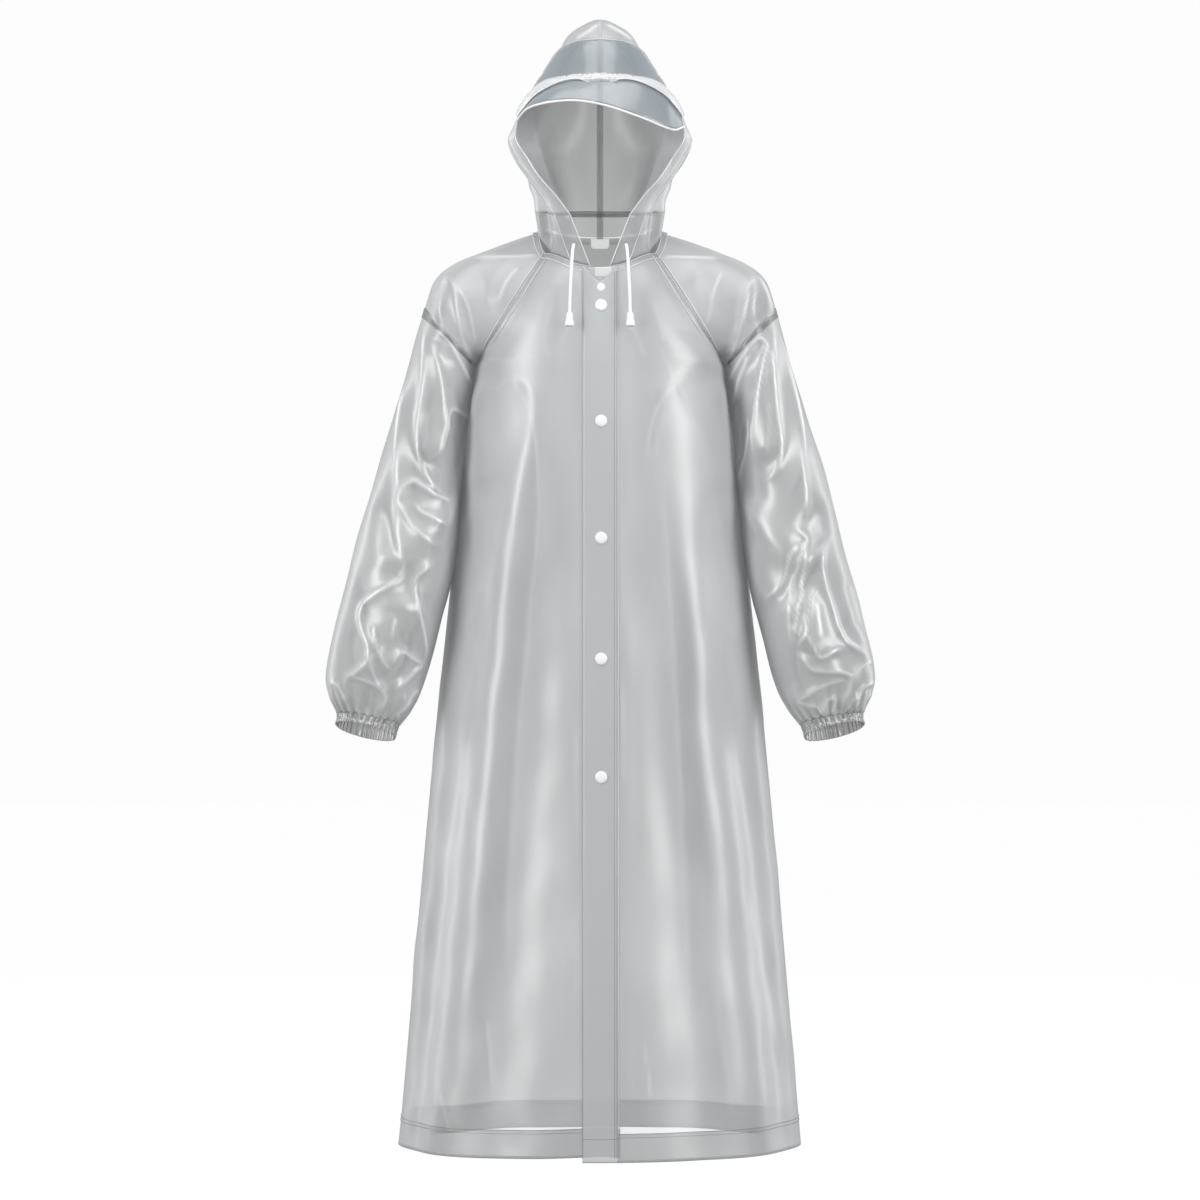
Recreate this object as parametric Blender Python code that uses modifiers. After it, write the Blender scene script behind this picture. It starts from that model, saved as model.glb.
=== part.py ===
"""Long hooded raincoat of pale translucent film, filled out as worn, with nobody in it.

Metres, +Z up, the front faces -Y and the wearer's left is +X. The origin lies inside the neck, level with
the shoulder line. Each cut piece is a thin shell lofted through sections worked out from the sizes below.
"""

from collections import namedtuple

import bmesh
import bpy
import numpy as np
from mathutils import Vector

# Film and seams
WALL = 0.0012
GAP = 0.0003
LAYER = WALL + GAP
ARMPIT_ROOM = 0.0022
HEM_SIDE_ROOM = 0.0009
SNAP_ROOM = 0.0006

# Front edges and hem
PLACKET_HALF = 0.022
UNDERLAP = 0.0255
STEP_START = 0.028
STEP_END = 0.050
HEM_Z = -1.1735
HEM_DEPTH = 0.034
RIGHT_HEM_RISE = 0.008
NOTCH_DEPTH = 0.022
NOTCH_SIDE_DEPTH = 0.0105
NOTCH_HALF = 0.012

# Hood
CASING_WIDTH = 0.026
BAND_WIDTH = 0.0125
COLLAR_END = 0.0128
COLLAR_TAKE_IN = 0.955
COLLAR_LIFT = 0.0018
BINDING_WIDTH = 0.008
BINDING_LIFT = 0.0026
PIPING_RADIUS = 0.0014
WINDOW_LIFT = 0.0034
BRIM_START = 0.0013
BRIM_END = 0.0024
BRIM_BOW = 0.002
TAB_HALF = 0.012
TAB_LENGTH = 0.013

# Cuffs, snaps and drawcord
GATHERS = 36
GATHER_DEPTH = 0.0011
TOP_SNAP_SCALE = 0.72
CORD_RADIUS = 0.0019

# How finely the sections are read
SAMPLES = 64
FRONT_COLUMNS = 11
BACK_COLUMNS = 9
ARM_COLUMNS = 10
HOOD_COLUMNS = 12
WINDOW_ROWS = 11
BRIM_ROWS = 20
YOKE_ROWS = (0.0, 0.14, 0.29, 0.44, 0.58, 0.72, 0.84, 0.93, 1.0)
TRUNK_ROWS = (
    -0.2050, -0.2550, -0.3100, -0.3700, -0.4350, -0.5050, -0.5800,
    -0.6600, -0.7450, -0.8350, -0.9250, -1.0150, -1.0850, HEM_Z + HEM_DEPTH, HEM_Z,
)
SLEEVE_ROWS = (0.0, 0.07, 0.15, 0.23, 0.31, 0.38, 0.45, 0.52, 0.59, 0.66, 0.73, 0.80, 0.87, 0.94, 1.0)

Centre = namedtuple("Centre", "s front_y front_z back_y back_z")
CENTRE = (
    Centre(0.00, -0.098, -0.043, 0.080, 0.008),
    Centre(0.25, -0.107, -0.070, 0.094, -0.030),
    Centre(0.50, -0.115, -0.098, 0.107, -0.070),
    Centre(0.75, -0.123, -0.128, 0.117, -0.112),
    Centre(1.00, -0.130, -0.160, 0.124, -0.160),
)

Raglan = namedtuple("Raglan", "s front_x front_y front_z back_x back_y back_z")
RAGLAN = (
    Raglan(0.00, 0.0694, -0.062, -0.0246, 0.0600, 0.054, 0.0120),
    Raglan(0.25, 0.0900, -0.081, -0.0570, 0.0820, 0.080, -0.0350),
    Raglan(0.50, 0.1100, -0.091, -0.0895, 0.1050, 0.094, -0.0800),
    Raglan(0.75, 0.1310, -0.087, -0.1230, 0.1300, 0.088, -0.1210),
    Raglan(0.92, 0.1465, -0.058, -0.1465, 0.1465, 0.058, -0.1465),
    Raglan(1.00, 0.1575, -0.001, -0.1680, 0.1575, 0.001, -0.1680),
)

# A chest row leaves the centre for a share of its width (full) and reaches the raglan seam along trail_*; a
# shoulder row leaves the seam along lead_*. y is for the front.
Turn = namedtuple("Turn", "s full trail_x trail_y lead_x lead_y lead_z")
TURN = (
    Turn(0.00, 0.60, 0.020, 0.022, 0.010, 0.016, 0.009),
    Turn(0.25, 0.60, 0.032, 0.024, 0.026, 0.018, 0.018),
    Turn(0.50, 0.60, 0.046, 0.024, 0.038, 0.014, 0.026),
    Turn(0.75, 0.60, 0.046, 0.035, 0.050, -0.010, 0.030),
    Turn(0.92, 0.64, 0.020, 0.058, 0.040, -0.045, 0.018),
    Turn(1.00, 0.74, 0.000, 0.101, 0.000, -0.113, 0.000),
)

Ridge = namedtuple("Ridge", "s x y z reach")
RIDGE = (
    Ridge(0.00, 0.0790, 0.004, 0.0100, 0.028),
    Ridge(0.25, 0.1180, 0.003, -0.0030, 0.046),
    Ridge(0.50, 0.1560, 0.000, -0.0175, 0.062),
    Ridge(0.75, 0.1905, 0.000, -0.0335, 0.080),
    Ridge(0.90, 0.2140, 0.000, -0.0560, 0.098),
    Ridge(1.00, 0.2275, 0.000, -0.0975, 0.113),
)

Trunk = namedtuple("Trunk", "z half_width front back fullness")
TRUNK = (
    Trunk(0.1680, 0.1575, 0.1310, 0.1245, 0.710),
    Trunk(0.2275, 0.1660, 0.1400, 0.1300, 0.680),
    Trunk(0.3170, 0.1790, 0.1470, 0.1335, 0.640),
    Trunk(0.4470, 0.1935, 0.1540, 0.1370, 0.610),
    Trunk(0.6240, 0.2120, 0.1660, 0.1435, 0.580),
    Trunk(0.8000, 0.2285, 0.1780, 0.1500, 0.575),
    Trunk(0.9880, 0.2450, 0.1900, 0.1580, 0.570),
    Trunk(1.1800, 0.2615, 0.2000, 0.1660, 0.570),
)

# The sleeve from its seam on the upper arm down to the cuff: the outermost and innermost point of each section
Sleeve = namedtuple("Sleeve", "d outer_x outer_z inner_x inner_z mid_y front back rise")
SLEEVE = (
    Sleeve(0.00, 0.2275, -0.0975, 0.1575, -0.1680, 0.000, 0.085, 0.085, 0.00),
    Sleeve(0.20, 0.2600, -0.2080, 0.1706, -0.2480, -0.010, 0.082, 0.080, 0.00),
    Sleeve(0.40, 0.2925, -0.3120, 0.1820, -0.3420, -0.026, 0.080, 0.076, 0.00),
    Sleeve(0.60, 0.3195, -0.4160, 0.1935, -0.4480, -0.040, 0.078, 0.074, 0.03),
    Sleeve(0.76, 0.3390, -0.4960, 0.2120, -0.5260, -0.048, 0.072, 0.070, 0.06),
    Sleeve(0.90, 0.3530, -0.5650, 0.2300, -0.5850, -0.053, 0.062, 0.062, 0.10),
    Sleeve(0.96, 0.3485, -0.5930, 0.2430, -0.6090, -0.055, 0.052, 0.053, 0.13),
    Sleeve(1.00, 0.3370, -0.6140, 0.2590, -0.6280, -0.056, 0.040, 0.041, 0.15),
)
Cuff = namedtuple("Cuff", "d outer_x outer_z inner_x inner_z mid_y front back rise")
CUFF = (
    Cuff(0.0, 0.3370, -0.6145, 0.2590, -0.6285, -0.0560, 0.0395, 0.0405, 0.15),
    Cuff(0.5, 0.3380, -0.6215, 0.2615, -0.6370, -0.0565, 0.0385, 0.0395, 0.15),
    Cuff(1.0, 0.3395, -0.6285, 0.2640, -0.6450, -0.0570, 0.0390, 0.0400, 0.15),
)

# Hood slices from the neck up. side_* is the widest point; the slice leaves its front edge along lead_*.
Slice = namedtuple("Slice", "h front_x front_y front_z side_x side_y side_z back_y back_z lead_x lead_y")
HOOD = (
    Slice(0.038, 0.0382, -0.1080, 0.0239, 0.0812, 0.000, 0.0370, 0.0850, 0.0409, 0.026, 0.011),
    Slice(0.055, 0.0542, -0.1075, 0.0456, 0.0825, -0.006, 0.0540, 0.0900, 0.0600, 0.025, 0.014),
    Slice(0.075, 0.0765, -0.1050, 0.0714, 0.0930, -0.026, 0.0760, 0.0960, 0.0820, 0.022, 0.018),
    Slice(0.097, 0.0932, -0.1000, 0.0974, 0.1085, -0.050, 0.0980, 0.1030, 0.1030, 0.018, 0.018),
    Slice(0.121, 0.1086, -0.0970, 0.1207, 0.1205, -0.060, 0.1220, 0.1110, 0.1250, 0.013, 0.018),
    Slice(0.143, 0.1189, -0.0900, 0.1432, 0.1222, -0.064, 0.1420, 0.1180, 0.1470, 0.006, 0.014),
    Slice(0.159, 0.1080, -0.0960, 0.1600, 0.1140, -0.050, 0.1600, 0.1210, 0.1660, 0.013, 0.018),
    Slice(0.178, 0.0800, -0.1060, 0.1775, 0.0950, -0.032, 0.1830, 0.1220, 0.1880, 0.022, 0.016),
    Slice(0.192, 0.0480, -0.1140, 0.1902, 0.0840, -0.025, 0.1990, 0.1210, 0.2020, 0.034, 0.012),
    Slice(0.2065, 0.0100, -0.1178, 0.1934, 0.0763, -0.022, 0.2103, 0.1192, 0.2129, 0.048, 0.001),
    Slice(0.208, GAP / 2, -0.1180, 0.1935, 0.0755, -0.022, 0.2115, 0.1190, 0.2140, 0.050, 0.000),
    Slice(0.226, GAP / 2, -0.1030, 0.2245, 0.0655, -0.012, 0.2265, 0.1130, 0.2320, 0.042, 0.000),
    Slice(0.248, GAP / 2, -0.0840, 0.2480, 0.0510, -0.005, 0.2470, 0.1020, 0.2510, 0.032, 0.000),
    Slice(0.269, GAP / 2, -0.0560, 0.2690, 0.0364, 0.005, 0.2680, 0.0840, 0.2690, 0.022, 0.000),
    Slice(0.286, GAP / 2, -0.0200, 0.2845, 0.0205, 0.012, 0.2865, 0.0520, 0.2850, 0.012, 0.000),
    Slice(0.298, GAP / 2, -0.0080, 0.2885, 0.0015, 0.014, 0.2887, 0.0400, 0.2887, 0.001, 0.000),
)
# Shares of a slice's depth and width by which it leaves and reaches its widest point and its centre back
SIDE_REACH = 0.45
SIDE_LIFT = 0.50
REAR_LEAD = 0.50
REAR_TRAIL = 0.55
COLLAR_ROWS = (0.010, 0.020, 0.029, 0.038)
HOOD_ROWS = (
    0.038, 0.0465, 0.055, 0.065, 0.076, 0.087, 0.098, 0.109, 0.121, 0.132, 0.143, 0.151, 0.159, 0.169,
    0.178, 0.192, 0.208, 0.226, 0.248, 0.269, 0.286, 0.298,
)
TEMPLE = 0.143

# The clear window over the forehead: slice and share of the slice at its seam, from the temple to the centre
Window = namedtuple("Window", "p edge_h seam_h seam_share")
WINDOW = (
    Window(0.00, 0.148, 0.156, 0.090),
    Window(0.15, 0.159, 0.174, 0.210),
    Window(0.30, 0.172, 0.199, 0.340),
    Window(0.45, 0.185, 0.221, 0.420),
    Window(0.60, 0.195, 0.237, 0.390),
    Window(0.80, 0.204, 0.2465, 0.220),
    Window(1.00, 0.206, 0.2485, 0.000),
)

# The brim's piped edge, from the wearer's right temple to the left
Brim = namedtuple("Brim", "p x y z")
BRIM = (
    Brim(0.00, -0.1180, -0.0990, 0.1425),
    Brim(0.14, -0.0890, -0.1290, 0.1575),
    Brim(0.34, -0.0417, -0.1480, 0.1640),
    Brim(0.50, 0.0000, -0.1520, 0.1590),
    Brim(0.68, 0.0506, -0.1450, 0.1435),
    Brim(0.82, 0.0825, -0.1300, 0.1320),
    Brim(0.92, 0.1018, -0.1150, 0.1315),
    Brim(1.00, 0.1150, -0.1010, 0.1385),
)

# Soft folds: across is the share of a row where the fold lies at its start and end, rows are where it fades
# in and out, width is a share of the row, and height is out (+) or in (-)
Fold = namedtuple("Fold", "start end across_start across_end width height")
FRONT_FOLDS = (
    Fold(0.230, 1.30, 0.40, 0.60, 0.100, 0.0080),
    Fold(0.280, 1.30, 0.60, 0.80, 0.090, -0.0070),
    Fold(0.420, 1.30, 0.24, 0.38, 0.090, -0.0050),
    Fold(0.170, 0.34, 0.72, 0.66, 0.110, 0.0050),
)
BACK_FOLDS = (
    Fold(0.260, 1.30, 0.30, 0.36, 0.110, 0.0080),
    Fold(0.300, 1.30, 0.55, 0.60, 0.090, -0.0080),
    Fold(0.330, 1.30, 0.74, 0.80, 0.090, 0.0080),
)
SLEEVE_FOLDS = (
    Fold(0.02, 0.34, 0.30, 0.20, 0.050, 0.0070),
    Fold(0.10, 0.46, 0.16, 0.12, 0.050, -0.0070),
    Fold(0.36, 0.62, 0.06, 0.30, 0.055, 0.0080),
    Fold(0.42, 0.70, 0.36, 0.18, 0.050, -0.0075),
    Fold(0.62, 0.92, 0.20, 0.28, 0.050, 0.0075),
    Fold(0.60, 0.95, 0.08, 0.10, 0.050, -0.0065),
    Fold(0.20, 0.60, 0.72, 0.66, 0.060, -0.0070),
    Fold(0.45, 0.90, 0.60, 0.78, 0.055, 0.0070),
)
HOOD_FOLDS = (
    Fold(0.000, 0.090, 0.300, 0.260, 0.070, -0.0100),
    Fold(0.000, 0.080, 0.420, 0.380, 0.060, 0.0040),
)

FADE_IN = 0.25
FADE_OUT = 0.20

SNAP_HEIGHTS = (-0.0690, -0.0925, -0.2412, -0.3896, -0.5424, -0.6914)

CAP_PROFILE = ((0.0, 0.0026), (0.0045, 0.0024), (0.0070, 0.0016), (0.0080, 0.0004), (0.0079, 0.0), (0.0, 0.0))
BACK_PROFILE = ((0.0, 0.0014), (0.0055, 0.0012), (0.0065, 0.0004), (0.0064, 0.0), (0.0, 0.0))

CORD_ROUTE = (
    (0.0334, -0.1082, -0.0150), (0.0336, -0.1108, -0.0156), (0.0340, -0.1134, -0.0178),
    (0.0346, -0.1158, -0.0222), (0.0352, -0.1180, -0.0290), (0.0358, -0.1202, -0.0385),
    (0.0364, -0.1224, -0.0490), (0.0370, -0.1244, -0.0600), (0.0375, -0.1264, -0.0710),
    (0.0379, -0.1284, -0.0820), (0.0382, -0.1304, -0.0930), (0.0384, -0.1322, -0.1030),
)
CORD_END_PROFILE = ((0.0, 0.0), (0.0034, 0.0), (0.0040, -0.0020), (0.0043, -0.0080), (0.0058, -0.0150),
                    (0.0056, -0.0172), (0.0, -0.0180))


# ---------------------------------------------------------------- sections and lofts

def row_at(table, key):
    """The table's columns at a value of its first column, on smooth curves through its rows."""
    keys = np.array([row[0] for row in table])
    values = np.array([row[1:] for row in table])
    slopes = np.empty_like(values)
    slopes[1:-1] = (values[2:] - values[:-2]) / (keys[2:] - keys[:-2])[:, None]
    slopes[0] = (values[1] - values[0]) / (keys[1] - keys[0])
    slopes[-1] = (values[-1] - values[-2]) / (keys[-1] - keys[-2])
    i = int(np.clip(np.searchsorted(keys, key) - 1, 0, len(keys) - 2))
    span = keys[i + 1] - keys[i]
    t = min(max((key - keys[i]) / span, 0.0), 1.0)
    mixed = ((2 * t ** 3 - 3 * t ** 2 + 1) * values[i] + (t ** 3 - 2 * t ** 2 + t) * span * slopes[i]
             + (3 * t ** 2 - 2 * t ** 3) * values[i + 1] + (t ** 3 - t ** 2) * span * slopes[i + 1])
    return type(table[0])(key, *mixed)


def arc(start, lead, trail, end):
    """Points along a curve that leaves start along lead and reaches end along trail."""
    start, lead, trail, end = (np.array(v, float) for v in (start, lead, trail, end))
    u = np.linspace(0.0, 1.0, SAMPLES)[:, None]
    v = 1.0 - u
    return v ** 3 * start + 3 * v * v * u * (start + lead) + 3 * v * u * u * (end - trail) + u ** 3 * end


def chain(*curves):
    """Curves that follow each other, as one."""
    return np.vstack([curves[0]] + [curve[1:] for curve in curves[1:]])


def lengths(curve):
    """The distance along a curve to each of its points."""
    steps = np.linalg.norm(np.diff(curve, axis=0), axis=1)
    return np.concatenate([[0.0], np.cumsum(steps)])


def walk(curve, distances):
    """Points of a curve at distances from its start."""
    along = lengths(curve)
    return np.column_stack([np.interp(distances, along, curve[:, axis]) for axis in range(3)])


def even(count):
    """Shares from 0 to 1 in count equal steps."""
    return np.linspace(0.0, 1.0, count + 1)


def ease(low, high, x):
    """0 below low, 1 above high, and smooth between."""
    t = np.clip((x - low) / (high - low), 0.0, 1.0)
    return t * t * (3.0 - 2.0 * t)


def normals(grid):
    """Unit normals of a grid of points, outward where its rows run down and its columns to the left."""
    across = np.gradient(grid, axis=1)
    along = np.gradient(grid, axis=0)
    normal = np.cross(along, across)
    size = np.linalg.norm(normal, axis=2, keepdims=True)
    return normal / np.maximum(size, 1e-12)


def fold_height(folds, row, shares):
    """How far the folds stand out at shares of the row."""
    height = np.zeros(len(shares))
    for fold in folds:
        travel = min(max((row - fold.start) / (fold.end - fold.start), 0.0), 1.0)
        fade = min(travel / FADE_IN, (1.0 - travel) / FADE_OUT, 1.0)
        if fade <= 0.0:
            continue
        centre = fold.across_start + (fold.across_end - fold.across_start) * travel
        strength = fold.height * fade * fade * (3.0 - 2.0 * fade)
        height += strength * np.exp(-((shares - centre) / fold.width) ** 2)
    return height


def mirrored(points):
    """Points on the other side of the garment."""
    return points * np.array([-1.0, 1.0, 1.0])


def pull_in(grid, top=0.0, bottom=0.0, first=0.0, last=0.0):
    """Moves the edges of a grid inwards, along the surface."""
    grid = grid.copy()
    for row, inner, amount in ((0, 1, top), (-1, -2, bottom)):
        step = grid[inner] - grid[row]
        grid[row] += step * (amount / np.maximum(np.linalg.norm(step, axis=1), 1e-9))[:, None]
    for column, inner, amount in ((0, 1, first), (-1, -2, last)):
        step = grid[:, inner] - grid[:, column]
        grid[:, column] += step * (amount / np.maximum(np.linalg.norm(step, axis=1), 1e-9))[:, None]
    return grid


def room(before, after):
    """How far each side of a seam keeps back, so that walls meeting there at an angle stay apart."""
    before = before / np.linalg.norm(before, axis=-1, keepdims=True)
    after = after / np.linalg.norm(after, axis=-1, keepdims=True)
    cosine = np.sum(before * after, axis=-1)
    return GAP / 2 + WALL / 2 * np.sqrt((1.0 - cosine) / (1.0 + cosine))


# ---------------------------------------------------------------- the garment's sections

def front_section(s):
    """The chest above the armpit, from the centre front to the raglan seam."""
    centre, seam, turn = row_at(CENTRE, s), row_at(RAGLAN, s), row_at(TURN, s)
    return arc((0, centre.front_y, centre.front_z), (turn.full * seam.front_x, 0, 0),
               (turn.trail_x, turn.trail_y, 0), (seam.front_x, seam.front_y, seam.front_z))


def back_section(s):
    """The back above the armpit, from the centre back to the raglan seam."""
    centre, seam, turn = row_at(CENTRE, s), row_at(RAGLAN, s), row_at(TURN, s)
    return arc((0, centre.back_y, centre.back_z), (turn.full * seam.back_x, 0, 0),
               (turn.trail_x, -turn.trail_y, 0), (seam.back_x, seam.back_y, seam.back_z))


def trunk_section(z, face):
    """Below the armpit, from the centre front (face -1) or back (face 1) to the side seam."""
    ring = row_at(TRUNK, -z)
    depth = face * (ring.front if face < 0 else ring.back)
    return arc((0, depth, z), (ring.fullness * ring.half_width, 0, 0), (0, -ring.fullness * depth, 0),
               (ring.half_width, 0, z))


def shoulder_section(s):
    """Over the shoulder, from the front raglan seam to the back one."""
    seam, turn, ridge = row_at(RAGLAN, s), row_at(TURN, s), row_at(RIDGE, s)
    top = (ridge.x, ridge.y, ridge.z)
    front = arc((seam.front_x, seam.front_y, seam.front_z), (turn.lead_x, turn.lead_y, turn.lead_z),
                (0, ridge.reach, 0), top)
    back = arc((seam.back_x, seam.back_y, seam.back_z), (turn.lead_x, -turn.lead_y, turn.lead_z),
               (0, -ridge.reach, 0), top)
    return chain(front, back[::-1]) + np.array([ARMPIT_ROOM * ease(0.6, 1.0, s), 0, 0])


def loop(row, kept_off):
    """A sleeve's section, from its inner point round the front to the outer point and back behind."""
    inner = np.array((row.inner_x, row.mid_y, row.inner_z))
    outer = np.array((row.outer_x, row.mid_y, row.outer_z))
    front = arc(inner, (0, -row.front * 4 / 3, 0), (0, row.front * 4 / 3, 0), outer)
    back = arc(outer, (0, row.back * 4 / 3, 0), (0, -row.back * 4 / 3, 0), inner)
    ring = chain(front, back)
    ring[:, 2] += (row.mid_y - ring[:, 1]) * row.rise
    return ring + np.array([kept_off, 0, 0])


def neck_section():
    """Half of the neckline, from the collar's front end to the centre back."""
    front, shoulder, back = front_section(0.0), shoulder_section(0.0), back_section(0.0)
    whole = chain(front, shoulder, back[::-1])
    along = lengths(whole)
    start = np.interp(COLLAR_END, whole[:SAMPLES, 0], along[:SAMPLES])
    half = walk(whole, start + even(3 * SAMPLES) * (along[-1] - start))
    half = half * np.array([COLLAR_TAKE_IN, COLLAR_TAKE_IN, 1.0])
    half[-1, 0] = GAP / 2
    return half


def collar_section(h):
    """A slice of the collar, between the neckline and the hood's lowest slice."""
    low, high = COLLAR_ROWS[0], COLLAR_ROWS[-1]
    neck, hood = neck_section(), hood_section(high)
    shares = even(3 * SAMPLES)
    t = (h - low) / (high - low)
    return (1.0 - t) * walk(neck, shares * lengths(neck)[-1]) + t * walk(hood, shares * lengths(hood)[-1])


def hood_section(h):
    """A slice of the hood, from its front edge or centre seam round the side to the centre back."""
    row = row_at(HOOD, h)
    side = np.array((row.side_x, row.side_y, row.side_z))
    reach = SIDE_REACH * (row.side_y - row.front_y)
    lift = SIDE_LIFT * (row.side_z - row.front_z)
    front = arc((row.front_x, row.front_y, row.front_z), (row.lead_x, row.lead_y, 0), (0, reach, lift), side)
    deep = row.back_y - row.side_y
    rear = arc(side, (0, REAR_LEAD * deep, 0), (-REAR_TRAIL * row.side_x, 0, 0),
               (GAP / 2, row.back_y, row.back_z))
    return chain(front, rear)


# ---------------------------------------------------------------- grids of points

def trunk_rows(face):
    """(depth below the origin, section) for each row of a body panel, from the neck down."""
    upper = front_section if face < 0 else back_section
    rows = []
    for s in YOKE_ROWS:
        section = upper(s)
        rows.append((-section[-1, 2], section))
    rows += [(-z, trunk_section(z, face)) for z in TRUNK_ROWS]
    return rows


def body_grid(face, folds, starts, columns):
    """Points of a body panel: fixed distances from the centre, then even shares to the side."""
    fixed = np.array(starts)
    grid, heights = [], []
    for row, section in trunk_rows(face):
        full = lengths(section)[-1]
        distances = np.concatenate([fixed, fixed[-1] + even(columns)[1:] * (full - fixed[-1])])
        points = walk(section, np.abs(distances))
        points[distances < 0] = mirrored(points[distances < 0])
        grid.append(points)
        heights.append(fold_height(folds, row, np.abs(distances) / full))
    grid = np.array(grid)
    outward = normals(grid) * (1 if face < 0 else -1)
    return grid + outward * np.array(heights)[:, :, None]


def raise_by(grid, distance, face=1):
    """The grid moved out along its normals."""
    return grid + face * normals(grid) * distance


def front_left_grid():
    """The left front. Its edge beside the placket is raised by one layer, to lie over the underlap."""
    grid = body_grid(-1, FRONT_FOLDS, (PLACKET_HALF, STEP_START, STEP_END), FRONT_COLUMNS - 2)
    lift = np.zeros(grid.shape[1])
    lift[:2] = LAYER
    return grid + normals(grid) * lift[None, :, None]


def front_right_grid():
    """The right front, with its underlap past the centre, before it is mirrored to -X."""
    grid = body_grid(-1, FRONT_FOLDS, (-UNDERLAP, 0.0, PLACKET_HALF), FRONT_COLUMNS)
    rise = RIGHT_HEM_RISE * (1.0 - np.abs(grid[-1, :, 0]) / grid[-1, -1, 0]) ** 2
    for row, above in ((-1, -2), (-2, -3)):
        step = grid[above] - grid[row]
        grid[row] += step * (rise / np.linalg.norm(step, axis=1))[:, None]
    return grid


def back_half_grid():
    """The left half of the back, from the centre."""
    return body_grid(1, BACK_FOLDS, (0.0, TAB_HALF), BACK_COLUMNS)


def whole_back_grid():
    """The back from the right side seam to the left one."""
    half = back_half_grid()
    return np.concatenate([mirrored(half[:, :0:-1]), half], axis=1)


def shoulder_grid():
    """The left shoulder piece: rows from the neck outwards, columns from the front seam to the back one."""
    shares = even(2 * ARM_COLUMNS)
    rows = []
    for s in YOKE_ROWS:
        section = shoulder_section(s)
        rows.append(walk(section, shares * lengths(section)[-1]))
    return np.array(rows)


def sleeve_grid():
    """The left sleeve: rows down the arm, columns round it, the first and last the same."""
    shares = even(2 * ARM_COLUMNS)
    rows, heights = [], []
    for d in SLEEVE_ROWS:
        section = loop(row_at(SLEEVE, d), ARMPIT_ROOM * (1.0 - ease(0.0, 0.35, d)))
        rows.append(walk(section, shares * lengths(section)[-1]))
        inner = np.minimum(shares, 1.0 - shares)
        heights.append(fold_height(SLEEVE_FOLDS, d, shares) * ease(0.02, 0.14, inner))
    grid = np.array(rows)
    return grid + tube_normals(grid) * np.array(heights)[:, :, None]


def tube_normals(grid):
    """Normals of a grid whose last column repeats its first."""
    wrapped = np.concatenate([grid[:, -2:-1], grid, grid[:, 1:2]], axis=1)
    return normals(wrapped)[:, 1:-1]


def cuff_grid():
    """The left cuff: three rows with sharp gathers all round."""
    count = 2 * GATHERS
    rows = []
    for row in CUFF:
        section = loop(row, 0.0)
        rows.append(walk(section, even(count) * lengths(section)[-1]))
    grid = np.array(rows)
    pleat = np.where(np.arange(count + 1) % 2 == 0, 1.0, -1.0) * GATHER_DEPTH
    return grid + tube_normals(grid) * pleat[None, :, None]


def hood_grid(rows):
    """Points of the left half of the hood: the casing's width first, then even shares to the centre back."""
    grid, heights = [], []
    for h in rows:
        section = collar_section(h) if h < HOOD_ROWS[0] else hood_section(h)
        full = lengths(section)[-1]
        width = min(CASING_WIDTH, 0.3 * full)
        distances = np.concatenate([[0.0, width / 2], width + even(HOOD_COLUMNS - 2) * (full - width)])
        grid.append(walk(section, distances))
        heights.append(fold_height(HOOD_FOLDS, h, distances / full))
    grid = np.array(grid)
    return grid - normals(grid) * np.array(heights)[:, :, None]


def window_line(p):
    """Points of the hood from its forehead edge to the window's seam; p runs from the temple to the centre."""
    row = row_at(WINDOW, p)
    line = []
    for q in even(10):
        section = hood_section(row.edge_h + (row.seam_h - row.edge_h) * q)
        share = max(row.seam_share, 0.0) * q
        line.append(walk(section, np.array([share * lengths(section)[-1]]))[0])
    return np.array(line)


def forehead_grid():
    """The band and the window over the forehead, from temple to temple: the band's columns come first."""
    half = []
    for p in even(WINDOW_ROWS)[::-1]:
        line = window_line(p)
        rest = lengths(line)[-1] - BAND_WIDTH
        half.append(walk(line, np.concatenate([[0.0, BAND_WIDTH / 2], BAND_WIDTH + even(4) * rest])))
    half = np.array(half)
    half[0, :, 0] = 0.0
    grid = np.concatenate([mirrored(half[:0:-1]), half])
    return raise_by(grid, WINDOW_LIFT)


def brim_grid():
    """The brim from the forehead edge to just short of its piping, from the right temple to the left."""
    rows = []
    for t in even(BRIM_ROWS):
        edge = window_line(1.0 - abs(2.0 * t - 1.0))[0] * np.array([np.sign(t - 0.5), 1.0, 1.0])
        rim = np.array(row_at(BRIM, t)[1:])
        full = np.linalg.norm(rim - edge)
        shares = (BRIM_START + (full - BRIM_START - BRIM_END) * even(2)) / full
        line = edge + (rim - edge) * shares[:, None]
        line[:, 2] += BRIM_BOW * np.sin(np.pi * shares)
        rows.append(line)
    return np.array(rows)


# ---------------------------------------------------------------- objects

def clear_scene():
    for item in list(bpy.data.objects):
        bpy.data.objects.remove(item, do_unlink=True)


def material(name, colour, roughness, alpha=1.0):
    """A plain Principled material."""
    made = bpy.data.materials.new(name)
    made.use_nodes = True
    shader = made.node_tree.nodes["Principled BSDF"]
    shader.inputs["Base Color"].default_value = (*colour, 1.0)
    shader.inputs["Roughness"].default_value = roughness
    shader.inputs["Metallic"].default_value = 0.0
    shader.inputs["Alpha"].default_value = alpha
    made.diffuse_color = (*colour, alpha)
    return made


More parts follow.
